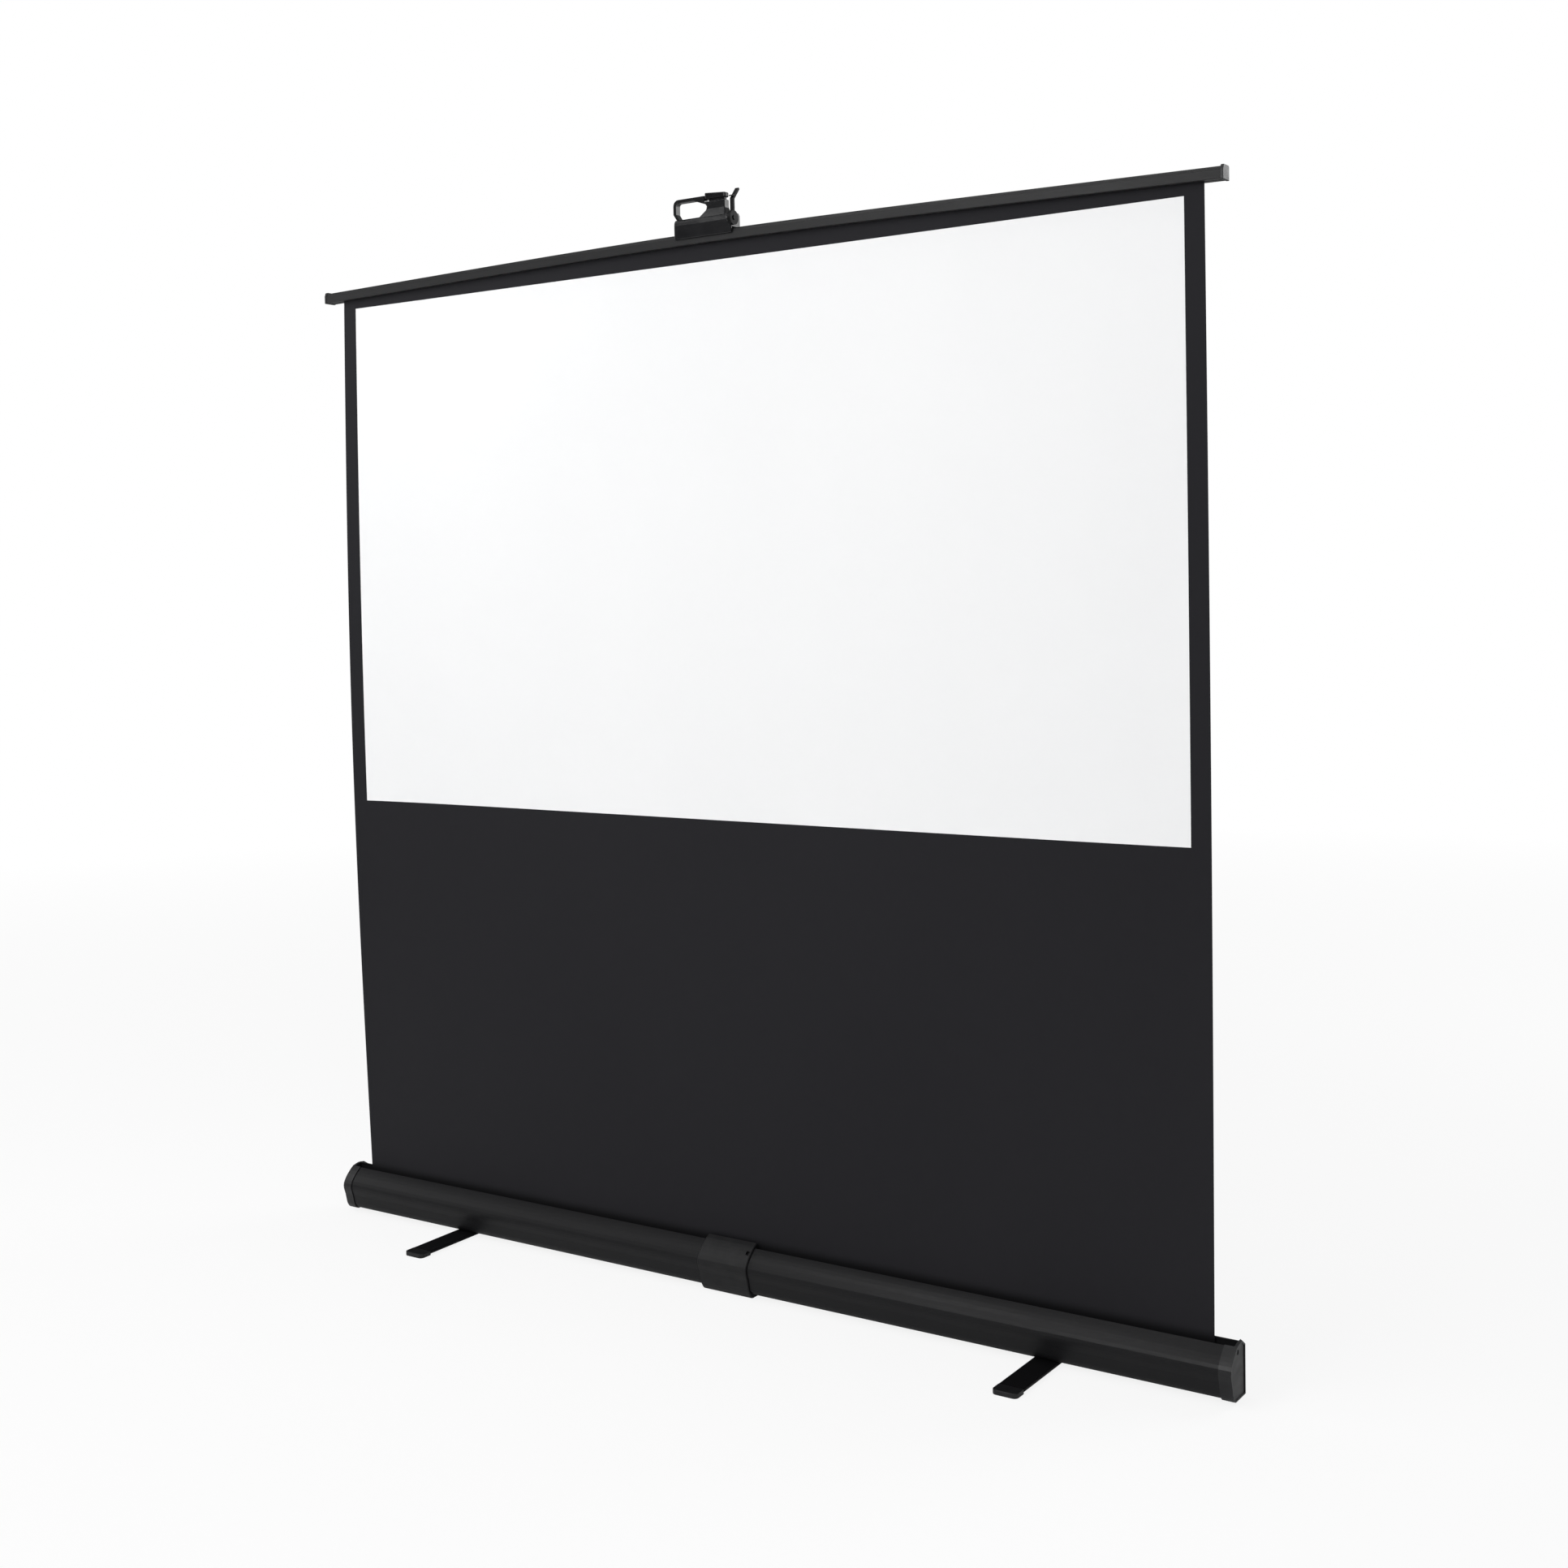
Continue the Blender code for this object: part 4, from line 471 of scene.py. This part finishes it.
@dataclass(frozen=True)
class Finishes:
    """Every finish of the screen, made once."""

    case_paint: bpy.types.Material
    foot_paint: bpy.types.Material
    bar_paint: bpy.types.Material
    cap: bpy.types.Material
    band: bpy.types.Material
    handle: bpy.types.Material
    button: bpy.types.Material
    lever: bpy.types.Material
    spline: bpy.types.Material
    tube: bpy.types.Material
    steel: bpy.types.Material
    screw: bpy.types.Material
    arm: bpy.types.Material
    picture: bpy.types.Material
    border: bpy.types.Material
    backing: bpy.types.Material

    @classmethod
    def make(cls) -> "Finishes":
        """Makes all finishes.

        Returns:
            The set, ready to dress the pieces.
        """
        return cls(
            case_paint=ExtrudedPaint("satin_black_extrusion").make(),
            foot_paint=ExtrudedPaint(
                "satin_black_foot",
                dark=(0.0030, 0.0030, 0.0034),
                light=(0.0054, 0.0054, 0.0060),
                gloss=(0.36, 0.46),
                specular=0.10,
            ).make(),
            bar_paint=ExtrudedPaint(
                "satin_black_bar", dark=(0.0120, 0.0120, 0.0125), light=(0.0190, 0.0190, 0.0196)
            ).make(),
            cap=MouldedPlastic(
                "dark_grey_end_plastic",
                dark=(0.0056, 0.0056, 0.0064),
                light=(0.0094, 0.0094, 0.0104),
                gloss=(0.36, 0.46),
                specular=0.36,
            ).make(),
            band=MouldedPlastic(
                "black_band_plastic", dark=(0.0065, 0.0065, 0.0072), light=(0.0105, 0.0105, 0.0112)
            ).make(),
            handle=MouldedPlastic(
                "black_handle_plastic",
                dark=(0.0046, 0.0046, 0.0054),
                light=(0.0082, 0.0082, 0.0092),
                gloss=(0.12, 0.18),
                specular=0.42,
                grain_depth=0.000008,
            ).make(),
            button=MouldedPlastic(
                "soft_black_button_plastic",
                dark=(0.0020, 0.0020, 0.0024),
                light=(0.0036, 0.0036, 0.0042),
                gloss=(0.16, 0.22),
                specular=0.2,
                grain_depth=0.000008,
            ).make(),
            lever=MouldedPlastic(
                "matt_black_lever_plastic",
                dark=(0.0030, 0.0030, 0.0034),
                light=(0.0050, 0.0050, 0.0056),
                gloss=(0.36, 0.46),
                specular=0.10,
            ).make(),
            spline=MouldedPlastic(
                "grey_spline_plastic", dark=(0.09, 0.09, 0.09), light=(0.13, 0.13, 0.13)
            ).make(),
            tube=PlatedSteel(
                "mill_aluminium_tube",
                dark=(0.52, 0.52, 0.53),
                light=(0.66, 0.66, 0.67),
                gloss=(0.30, 0.42),
            ).make(),
            steel=PlatedSteel("zinc_plated_steel").make(),
            screw=PlatedSteel(
                "bright_zinc_screws",
                dark=(0.62, 0.62, 0.63),
                light=(0.78, 0.78, 0.77),
                gloss=(0.18, 0.30),
            ).make(),
            arm=PowderCoat("black_powder_coat").make(),
            picture=Cloth(
                "matte_white_picture_cloth",
                dark=(0.900, 0.902, 0.906),
                light=(0.925, 0.926, 0.928),
            ).make(),
            border=Cloth(
                "black_border_cloth",
                dark=(0.0118, 0.0115, 0.0140),
                light=(0.0140, 0.0137, 0.0162),
                roughness=0.62,
                specular=0.12,
                sheen=0.03,
                # painted shade on the border where it goes down into the case's slot
                painted_slot_shade=(0.084, 0.108, 0.25),
            ).make(),
            backing=Cloth(
                "black_cloth_backing",
                dark=(0.020, 0.020, 0.021),
                light=(0.027, 0.027, 0.028),
                roughness=0.9,
                specular=0.15,
            ).make(),
        )


def dress(material: bpy.types.Material, *names: str) -> None:
    """Gives CAD nodes a finish.

    Args:
        material: The finish.
        names: The nodes.
    """
    for name in names:
        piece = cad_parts[name]
        piece.data.materials.clear()
        piece.data.materials.append(material)
        log.info("%s is dressed in %s", name, material.name)


def clear_selection() -> None:
    """Deselects everything."""
    if bpy.context.mode != "OBJECT":
        bpy.ops.object.mode_set(mode="OBJECT")
    bpy.ops.object.select_all(action="DESELECT")


def start_piece(name: str) -> bpy.types.Object:
    """Names the primitive that was just added.

    Args:
        name: The piece's name.

    Returns:
        The piece.
    """
    piece = bpy.context.active_object
    piece.name = name
    piece.data.name = name
    return piece


def start_grid(name: str, across: int, along: int) -> bpy.types.Object:
    """Adds a square of faces, one metre wide, to be rolled into a piece.

    Args:
        name: The piece's name.
        across: How many faces it has along X.
        along: How many faces it has along Y.

    Returns:
        The piece.
    """
    clear_selection()
    bpy.ops.mesh.primitive_grid_add(x_subdivisions=across, y_subdivisions=along, size=1)
    return start_piece(name)


def settle(piece: bpy.types.Object) -> None:
    """Moves a piece's place, turn and scale into its mesh.

    Args:
        piece: The piece.
    """
    clear_selection()
    piece.select_set(True)
    bpy.context.view_layer.objects.active = piece
    bpy.ops.object.transform_apply(location=True, rotation=True, scale=True)


def apply_modifier(piece: bpy.types.Object, kind: str, **settings: object) -> None:
    """Adds a modifier and applies it.

    Args:
        piece: The piece.
        kind: The modifier's type.
        settings: Its properties.
    """
    modifier = piece.modifiers.new(kind.title(), kind)
    for key, value in settings.items():
        setattr(modifier, key, value)
    bpy.context.view_layer.objects.active = piece
    bpy.ops.object.modifier_apply(modifier=modifier.name)


def weld(piece: bpy.types.Object) -> None:
    """Joins a rolled grid along its seam and at its ends, and turns its faces outward.

    Args:
        piece: The rolled grid.
    """
    bpy.context.view_layer.objects.active = piece
    bpy.ops.object.mode_set(mode="EDIT")
    bpy.ops.mesh.select_all(action="SELECT")
    bpy.ops.mesh.remove_doubles(threshold=WELD_GAP)
    bpy.ops.mesh.normals_make_consistent(inside=False)
    bpy.ops.object.mode_set(mode="OBJECT")


def smooth(piece: bpy.types.Object, crease: float) -> None:
    """Shades a piece smooth, but for its creases.

    Args:
        piece: The piece.
        crease: The least angle of a crease, in degrees.
    """
    piece.data.shade_smooth()
    piece.data.set_sharp_from_angle(angle=math.radians(crease))


@dataclass
class Fabric:
    """The screen fabric: white picture area, black borders and drop, and its wraps on the roller.

    It leaves the roller level with the roller's middle, goes straight up, and is bowed along
    its top edge like the header bar. Its side edges curl forward and back.
    """

    finishes: Finishes
    white_half: float = 0.8855
    white_low: float = 0.859
    white_high: float = 1.855
    half: float = 0.9185
    plane_y: float = 0.008
    low: float = 0.044
    lead_high: float = 0.0595
    high: float = 1.8877
    case_top: float = 0.0945
    bar_end_bottom: float = 1.8715
    thickness: float = 0.0005
    travel: float = 1.7745
    left_curl: float = -0.017
    right_curl: float = 0.006
    curl_width: float = 0.42
    bow: float = 0.0145
    bar_middle: float = -0.0045
    bar_half: float = 0.9575
    columns: int = 96
    rows: int = 96
    lead_rows: int = 4
    strip_rows: int = 6
    facing: float = 0.5
    crease: float = 40.0
    roller_y: float = -0.0065
    wrap_radius: float = 0.0133
    wrap_turns: float = 2.25
    wrap_pitch: float = 0.00027
    wrap_thickness: float = 0.0002
    wrap_columns: int = 24
    wrap_rows: int = 64

    def droop(self, x: float) -> float:
        """How far the header bar has bent down, like a beam held at its middle.

        Args:
            x: The place along the bar.

        Returns:
            The height, at most 0.
        """
        share = abs(x - self.bar_middle) / self.bar_half
        return -self.bow * (6 * share**2 - 4 * share**3 + share**4) / 3

    def curl(self, x: float, z: float) -> float:
        """How far the fabric's side edge has curled out of its plane.

        Args:
            x: The place along the fabric.
            z: The height on it.

        Returns:
            The distance along Y.
        """
        if not self.case_top < z < self.bar_end_bottom:
            return 0.0
        reach = max(0.0, (abs(x) - (self.half - self.curl_width)) / self.curl_width)
        depth = self.left_curl if x < 0 else self.right_curl
        rise = (z - self.case_top) / (self.bar_end_bottom - self.case_top)
        return depth * reach**3 * math.sin(math.pi * rise)

    def zone(self, face: bpy.types.MeshPolygon) -> Zone:
        """Which part of the sheet a face lies in.

        Args:
            face: The face.

        Returns:
            The part.
        """
        x, _, z = face.center
        if face.normal.y > self.facing:
            return Zone.BACK
        inside = abs(x) < self.white_half and self.white_low < z < self.white_high
        return Zone.PICTURE if inside and face.normal.y < -self.facing else Zone.BORDER

    def build(self) -> None:
        """Makes the sheet in three parts, and the wraps.

        The lead stays beside the roller, the hanging sheet stands above it, both riding with the
        case, and the strip comes down with the bar.
        """
        lead = self.build_sheet("roller_lead", self.low, self.lead_high, self.lead_rows)
        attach(lead, "case")
        sheet = self.build_sheet("hanging_fabric", self.lead_high, self.white_high, self.rows)
        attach(sheet, "case")
        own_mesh(sheet)
        strip = self.build_sheet("header_strip", self.white_high, self.high, self.strip_rows)
        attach(strip, "header")
        self.build_wraps()

    def build_sheet(self, name: str, low: float, high: float, rows: int) -> bpy.types.Object:
        """Makes a part of the sheet, cut along the edges of the picture area.

        Args:
            name: The piece's name.
            low: Its lower edge's height.
            high: Its upper edge's height.
            rows: How many rows of faces it has.

        Returns:
            The piece, with its thickness and finishes.
        """
        clear_selection()
        bpy.ops.mesh.primitive_grid_add(
            x_subdivisions=self.columns,
            y_subdivisions=rows,
            size=1,
            location=(0, self.plane_y, (low + high) / 2),
            rotation=(math.pi / 2, 0, 0),
        )
        piece = start_piece(name)
        piece.scale = (2 * self.half, high - low, 1)
        settle(piece)
        self.cut(low)
        for vert in piece.data.vertices:
            x, y, z = vert.co
            share = max(0.0, (z - self.white_high) / (self.high - self.white_high))
            vert.co = (x, y + self.curl(x, z), z + share * self.droop(x))
        for material in (self.finishes.picture, self.finishes.border, self.finishes.backing):
            piece.data.materials.append(material)
        apply_modifier(piece, "SOLIDIFY", thickness=self.thickness, offset=0.0)
        for face in piece.data.polygons:
            face.material_index = self.zone(face).value
        smooth(piece, self.crease)
        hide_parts("screen_fabric")
        log.info("%s has %d faces", piece.name, len(piece.data.polygons))
        return piece

    def cut(self, low: float) -> None:
        """Cuts the active piece along the picture area's edges.

        Args:
            low: The piece's lower edge's height.
        """
        bpy.ops.object.mode_set(mode="EDIT")
        cuts = [((x, 0, 0), (1, 0, 0)) for x in (-self.white_half, self.white_half)]
        if low < self.white_low:
            cuts.append(((0, 0, self.white_low), (0, 0, 1)))
        for point, normal in cuts:
            bpy.ops.mesh.select_all(action="SELECT")
            bpy.ops.mesh.bisect(plane_co=point, plane_no=normal)
        bpy.ops.object.mode_set(mode="OBJECT")

    def build_wraps(self) -> None:
        """Makes the turns of fabric on the roller, as one spiral sheet with its free edge."""
        piece = start_grid("wound_fabric", self.wrap_columns, self.wrap_rows)
        low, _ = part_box("fabric_wraps")
        inner = self.wrap_radius + self.wrap_thickness
        for vert in piece.data.vertices:
            turn = (vert.co.y + 0.5) * self.wrap_turns
            radius = inner + turn * self.wrap_pitch
            angle = FULL_TURN * (turn - self.wrap_turns)
            vert.co = (
                2 * vert.co.x * abs(low.x),
                self.roller_y + radius * math.cos(angle),
                self.low + radius * math.sin(angle),
            )
        piece.data.materials.append(self.finishes.border)
        apply_modifier(piece, "SOLIDIFY", thickness=self.wrap_thickness, offset=0.0)
        smooth(piece, self.crease)
        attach(piece, "roller")
        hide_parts("fabric_wraps")
        log.info("%s has %d faces", piece.name, len(piece.data.polygons))


@dataclass
class Case:
    """The long case: its extrusion, end caps, the band round its middle and the roller inside."""

    finishes: Finishes

    def build(self) -> None:
        """Dresses the case's nodes."""
        dress(self.finishes.case_paint, "case_housing")
        for side in Side:
            dress(self.finishes.cap, "case_end_cap_" + side.value, "roller_plug_" + side.value)
        dress(self.finishes.band, "latch_band")
        dress(self.finishes.tube, "roller_tube")
        dress(self.finishes.steel, "roller_spindle", "roller_spring")


@dataclass
class Lift:
    """The geared knee lift behind the fabric: plates, arms, pins and elbow springs."""

    finishes: Finishes

    def build(self) -> None:
        """Dresses the lift's nodes."""
        dress(self.finishes.steel, "lift_base_plate", "top_plate")
        for side in Side:
            dress(self.finishes.arm, "arm_lower_" + side.value, "arm_upper_" + side.value)
            for stem in ("base_pin_", "elbow_pin_", "top_pin_", "elbow_spring_"):
                dress(self.finishes.steel, stem + side.value)


@dataclass
class Header:
    """The bowed header bar with its caps, and the handle, push button and latch lever on it."""

    finishes: Finishes

    def build(self) -> None:
        """Dresses the header's nodes."""
        dress(self.finishes.bar_paint, "header_bar")
        dress(self.finishes.cap, "header_cap_left", "header_cap_right")
        dress(self.finishes.spline, "fabric_spline")
        dress(self.finishes.handle, "handle_body")
        dress(self.finishes.button, "release_button")
        dress(self.finishes.lever, "latch_lever", "latch_pin")


@dataclass
class Feet:
    """The two turning feet with their moulded tips and bolts."""

    finishes: Finishes

    def build(self) -> None:
        """Dresses the feet's nodes."""
        for side in Side:
            dress(self.finishes.foot_paint, "foot_" + side.value)
            dress(self.finishes.steel, "foot_bolt_" + side.value)
            for end in ("front", "back"):
                dress(self.finishes.cap, "foot_tip_%s_%s" % (side.value, end))


@dataclass
class Screws:
    """The domed machine screws, with thread and cross recess, modelled once for each set."""

    finishes: Finishes
    per_set: int = 4
    turn_step: float = 0.9
    around: int = 24
    head_radius: float = 0.0038
    head_height: float = 0.0016
    seat_share: float = 0.94
    rim_share: float = 0.08
    wall_share: float = 0.5
    crown_share: float = 0.55
    dome_steps: int = 6
    shank_radius: float = 0.0020
    tip_share: float = 0.7
    tip_length: float = 0.0004
    plain_length: float = 0.001
    thread_pitch: float = 0.0007
    thread_depth: float = 0.0003
    steps_per_turn: int = 6
    recess_width: float = 0.0008
    recess_reach: float = 0.0019
    recess_depth: float = 0.0010
    crease: float = 35.0

    def build(self) -> None:
        """Makes the screws of the end caps, the base plate and the top plate."""
        self.build_set("case_end_screw_", "case", DOWN)
        self.build_set("base_plate_screw_", "case", BACKWARD)
        self.build_set("top_plate_screw_", "header", BACKWARD)

    def build_set(self, stem: str, body: str, head: Vector) -> None:
        """Makes one set of screws.

        Args:
            stem: The nodes' name without its number.
            body: The body that the screws ride on.
            head: The way that the heads point.
        """
        turn = UP.rotation_difference(head).to_matrix().to_4x4()
        nodes = ["%s%d" % (stem, number) for number in range(1, self.per_set + 1)]
        boxes = [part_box(node) for node in nodes]
        low, high = boxes[0]
        model = self.model(abs((high - low).dot(head)) - self.head_height)
        for number, (node, (low, high)) in enumerate(zip(nodes, boxes), 1):
            middle = (low + high) / 2
            seat = middle + head * (abs((high - low).dot(head)) / 2 - self.head_height)
            piece = bpy.data.objects.new("cross_" + node, model.data.copy())
            bpy.context.scene.collection.objects.link(piece)
            piece.data.name = piece.name
            spin = Matrix.Rotation(self.turn_step * number, 4, "Z")
            piece.matrix_world = Matrix.Translation(seat) @ turn @ spin
            settle(piece)
            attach(piece, body)
            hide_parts(node)
        log.info("%s pieces have %d faces each", stem, len(model.data.polygons))
        bpy.data.objects.remove(model)

    def profile(self, length: float) -> list[tuple[float, float, bool]]:
        """The screw's outline from its tip to the middle of its head.

        Args:
            length: How long its shank is.

        Returns:
            The height, the radius and whether there is thread, row by row.
        """
        shank, head, height = self.shank_radius, self.head_radius, self.head_height
        rows = [(-length, 0.0, False), (-length, self.tip_share * shank, False)]
        step = self.thread_pitch / self.steps_per_turn
        count = int((length - self.plain_length) / step)
        rows += [(-length + self.tip_length + index * step, shank, True) for index in range(count)]
        rows += [
            (0.0, shank, False),
            (0.0, self.seat_share * head, False),
            (self.rim_share * height, head, False),
            (self.wall_share * height, head, False),
        ]
        for index in range(1, self.dome_steps + 1):
            angle = index * math.pi / (2 * self.dome_steps)
            rise = self.wall_share + (1 - self.wall_share) * math.sin(angle)
            reach = self.crown_share + (1 - self.crown_share) * math.cos(angle)
            rows.append((height * rise, head * reach, False))
        return rows + [(height, 0.0, False)]

    def model(self, length: float) -> bpy.types.Object:
        """Makes one screw with its seat at the origin and its head up.

        Args:
            length: How long its shank is.

        Returns:
            The screw.
        """
        rows = self.profile(length)
        piece = start_grid("screw_model", self.around, len(rows) - 1)
        for vert in piece.data.vertices:
            share = vert.co.x + 0.5
            z, radius, threaded = rows[round((vert.co.y + 0.5) * (len(rows) - 1))]
            if threaded:
                phase = (z / self.thread_pitch + share) % 1.0
                radius -= self.thread_depth * abs(2 * phase - 1)
            angle = FULL_TURN * share
            vert.co = (radius * math.cos(angle), radius * math.sin(angle), z)
        weld(piece)
        self.cut(piece, self.recess_width, 2 * self.recess_reach)
        self.cut(piece, 2 * self.recess_reach, self.recess_width)
        piece.data.materials.append(self.finishes.screw)
        smooth(piece, self.crease)
        return piece

    def cut(self, piece: bpy.types.Object, size_x: float, size_y: float) -> None:
        """Takes one arm of the cross out of a screw's head.

        Args:
            piece: The screw.
            size_x: The arm's size along X.
            size_y: The arm's size along Y.
        """
        clear_selection()
        bpy.ops.mesh.primitive_cube_add(size=1, location=(0, 0, self.head_height))
        cutter = start_piece("recess_cutter")
        cutter.scale = (size_x, size_y, 2 * self.recess_depth)
        settle(cutter)
        apply_modifier(piece, "BOOLEAN", object=cutter, operation="DIFFERENCE", solver="EXACT")
        bpy.data.objects.remove(cutter)


@dataclass
class ButtonSpring:
    """The coil under the push button, which closes as the button is pressed."""

    finishes: Finishes
    wire: float = 0.0008
    turns: int = 6
    around: int = 10
    steps_per_turn: int = 24
    press: float = 0.004
    crease: float = 50.0

    def build(self) -> None:
        """Makes the coil as a tube round a helix, closed at both ends."""
        low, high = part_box("button_spring")
        centre = (low + high) / 2
        coil = (high.x - low.x - self.wire) / 2
        rise = high.z - low.z - self.wire
        steps = self.turns * self.steps_per_turn
        last = steps + 2
        piece = start_grid("button_coil", self.around, last)
        for vert in piece.data.vertices:
            row = round((vert.co.y + 0.5) * last)
            along = min(max(row - 1, 0), steps) / steps
            thick = 0.0 if row in (0, last) else self.wire / 2
            side = FULL_TURN * (vert.co.x + 0.5)
            turn = FULL_TURN * self.turns * along
            radius = coil + thick * math.cos(side)
            vert.co = (
                centre.x + radius * math.cos(turn),
                centre.y + radius * math.sin(turn),
                low.z + self.wire / 2 + rise * along + thick * math.sin(side),
            )
        weld(piece)
        piece.data.materials.append(self.finishes.steel)
        smooth(piece, self.crease)
        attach(piece, "header")
        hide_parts("button_spring")
        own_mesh(piece)
        log.info("%s has %d faces", piece.name, len(piece.data.polygons))


@dataclass(frozen=True)
class Softbox:
    """A square soft lamp: where it hangs, what it points at, its side's length and its power."""

    name: str
    place: Point
    target: Point
    size: float
    watts: float

    def build(self) -> None:
        """Adds the lamp."""
        lamp = bpy.data.lights.new(self.name, "AREA")
        lamp.shape = "SQUARE"
        lamp.size = self.size
        lamp.energy = self.watts
        holder = bpy.data.objects.new(self.name, lamp)
        bpy.context.scene.collection.objects.link(holder)
        holder.location = self.place
        aim = Vector(self.target) - Vector(self.place)
        holder.rotation_euler = aim.to_track_quat("-Z", "Y").to_euler()


@dataclass(frozen=True)
class Studio:
    """The pale floor, the lamps, the white surround and the photograph's camera."""

    floor_size: float = 60.0
    floor_tone: float = 0.95
    shown_white: float = 0.85
    fade_from: float = 2.0
    fade_to: float = 7.0
    horizon: float = 0.15
    zenith: float = 0.32
    rise_from: float = 0.1
    rise_to: float = 0.7
    sky_tone: Colour = (0.98, 0.99, 1.0)
    eye: Point = (2.048, -2.8446, 1.2717)
    yaw: float = 33.838
    pitch: float = -3.173
    roll: float = 1.193
    lens: float = 45.06
    shift: float = -0.0548
    lamps: tuple[Softbox, ...] = (
        Softbox("key_softbox", (-1.2, -4.8, 2.9), (-0.1, 0.0, 1.0), 2.4, 84.0),
        Softbox("side_softbox", (-5.2, -1.8, 2.4), (-0.3, 0.0, 0.9), 2.6, 46.0),
        Softbox("fill_softbox", (3.6, -3.8, 2.8), (0.2, 0.0, 1.0), 2.4, 60.0),
        Softbox("top_softbox", (-1.5, -2.0, 3.6), (0.1, 0.0, 0.4), 1.3, 24.0),
        Softbox("overhead_softbox", (-0.3, -0.1, 4.0), (0.2, 0.0, 0.1), 1.2, 15.0),
        Softbox("back_softbox", (2.6, 3.6, 2.8), (0.0, 0.0, 0.9), 2.4, 62.0),
    )

    def build(self) -> None:
        """Makes the stage, lights and camera."""
        self.build_floor()
        self.build_surround()
        for lamp in self.lamps:
            lamp.build()
        self.build_camera()
        bpy.context.scene.view_settings.view_transform = "Standard"

    def build_floor(self) -> None:
        """Makes a pale floor that reads as white and keeps the object's soft shadow."""
        clear_selection()
        bpy.ops.mesh.primitive_plane_add(size=self.floor_size)
        floor = start_piece("studio_floor")
        graph = Graph("pale_floor")
        seen = graph.add("LightPath").outputs["Is Camera Ray"]
        away = graph.add("VectorMath", {0: graph.place()}, operation="LENGTH").outputs["Value"]
        spread = {"Value": away, "From Min": self.fade_from, "From Max": self.fade_to}
        spread.update({"To Min": self.shown_white, "To Max": 1.0})
        fade = graph.add("MapRange", spread).outputs["Result"]
        share = graph.combine("MULTIPLY", seen, fade)
        tone = (self.floor_tone, self.floor_tone, self.floor_tone, 1.0)
        paint = graph.add("BsdfDiffuse", {"Color": tone}).outputs[0]
        glow = graph.add("Emission", {"Color": (1.0, 1.0, 1.0, 1.0), "Strength": 1.0}).outputs[0]
        mixed = graph.add("MixShader", {0: share, 1: paint, 2: glow}).outputs[0]
        graph.tree.links.new(mixed, graph.out.inputs["Surface"])
        floor.data.materials.append(graph.material)

    def build_surround(self) -> None:
        """Makes a world that looks white and lights softly."""
        world = bpy.data.worlds.new("white_surround")
        bpy.context.scene.world = world
        world.use_nodes = True
        nodes, links = world.node_tree.nodes, world.node_tree.links
        nodes.clear()
        path, direction = nodes.new("ShaderNodeLightPath"), nodes.new("ShaderNodeTexCoord")
        split, rise = nodes.new("ShaderNodeSeparateXYZ"), nodes.new("ShaderNodeMapRange")
        links.new(direction.outputs["Generated"], split.inputs[0])
        links.new(split.outputs["Z"], rise.inputs["Value"])
        rise.inputs["From Min"].default_value = self.rise_from
        rise.inputs["From Max"].default_value = self.rise_to
        rise.inputs["To Min"].default_value = self.horizon
        rise.inputs["To Max"].default_value = self.zenith
        soft, white = nodes.new("ShaderNodeBackground"), nodes.new("ShaderNodeBackground")
        links.new(rise.outputs["Result"], soft.inputs["Strength"])
        soft.inputs["Color"].default_value = (*self.sky_tone, 1.0)
        white.inputs["Color"].default_value = (1.0, 1.0, 1.0, 1.0)
        mix, out = nodes.new("ShaderNodeMixShader"), nodes.new("ShaderNodeOutputWorld")
        links.new(path.outputs["Is Camera Ray"], mix.inputs[0])
        links.new(soft.outputs[0], mix.inputs[1])
        links.new(white.outputs[0], mix.inputs[2])
        links.new(mix.outputs[0], out.inputs["Surface"])

    def build_camera(self) -> None:
        """Makes the camera at the photograph's place, with its lens and small vertical shift."""
        camera = bpy.data.cameras.new("photo_camera")
        camera.lens = self.lens
        camera.shift_y = self.shift
        holder = bpy.data.objects.new("photo_camera", camera)
        bpy.context.scene.collection.objects.link(holder)
        turn = Matrix.Rotation(math.radians(self.yaw), 3, "Z")
        turn = turn @ Matrix.Rotation(math.radians(self.pitch), 3, "X")
        turn = turn @ Matrix.Rotation(math.radians(self.roll), 3, "Y")
        right, forward, up = turn.col
        place = Matrix((right, up, -forward)).transposed().to_4x4()
        place.translation = self.eye
        holder.matrix_world = place
        bpy.context.scene.camera = holder


def main() -> None:
    """Builds the sub-assemblies in order."""
    logging.basicConfig(level=logging.INFO, format="%(message)s")
    Studio().build()
    finishes = Finishes.make()
    for part in (Case, Lift, Header, Feet, Fabric, Screws, ButtonSpring):
        part(finishes).build()


if __name__ == "__main__":
    main()
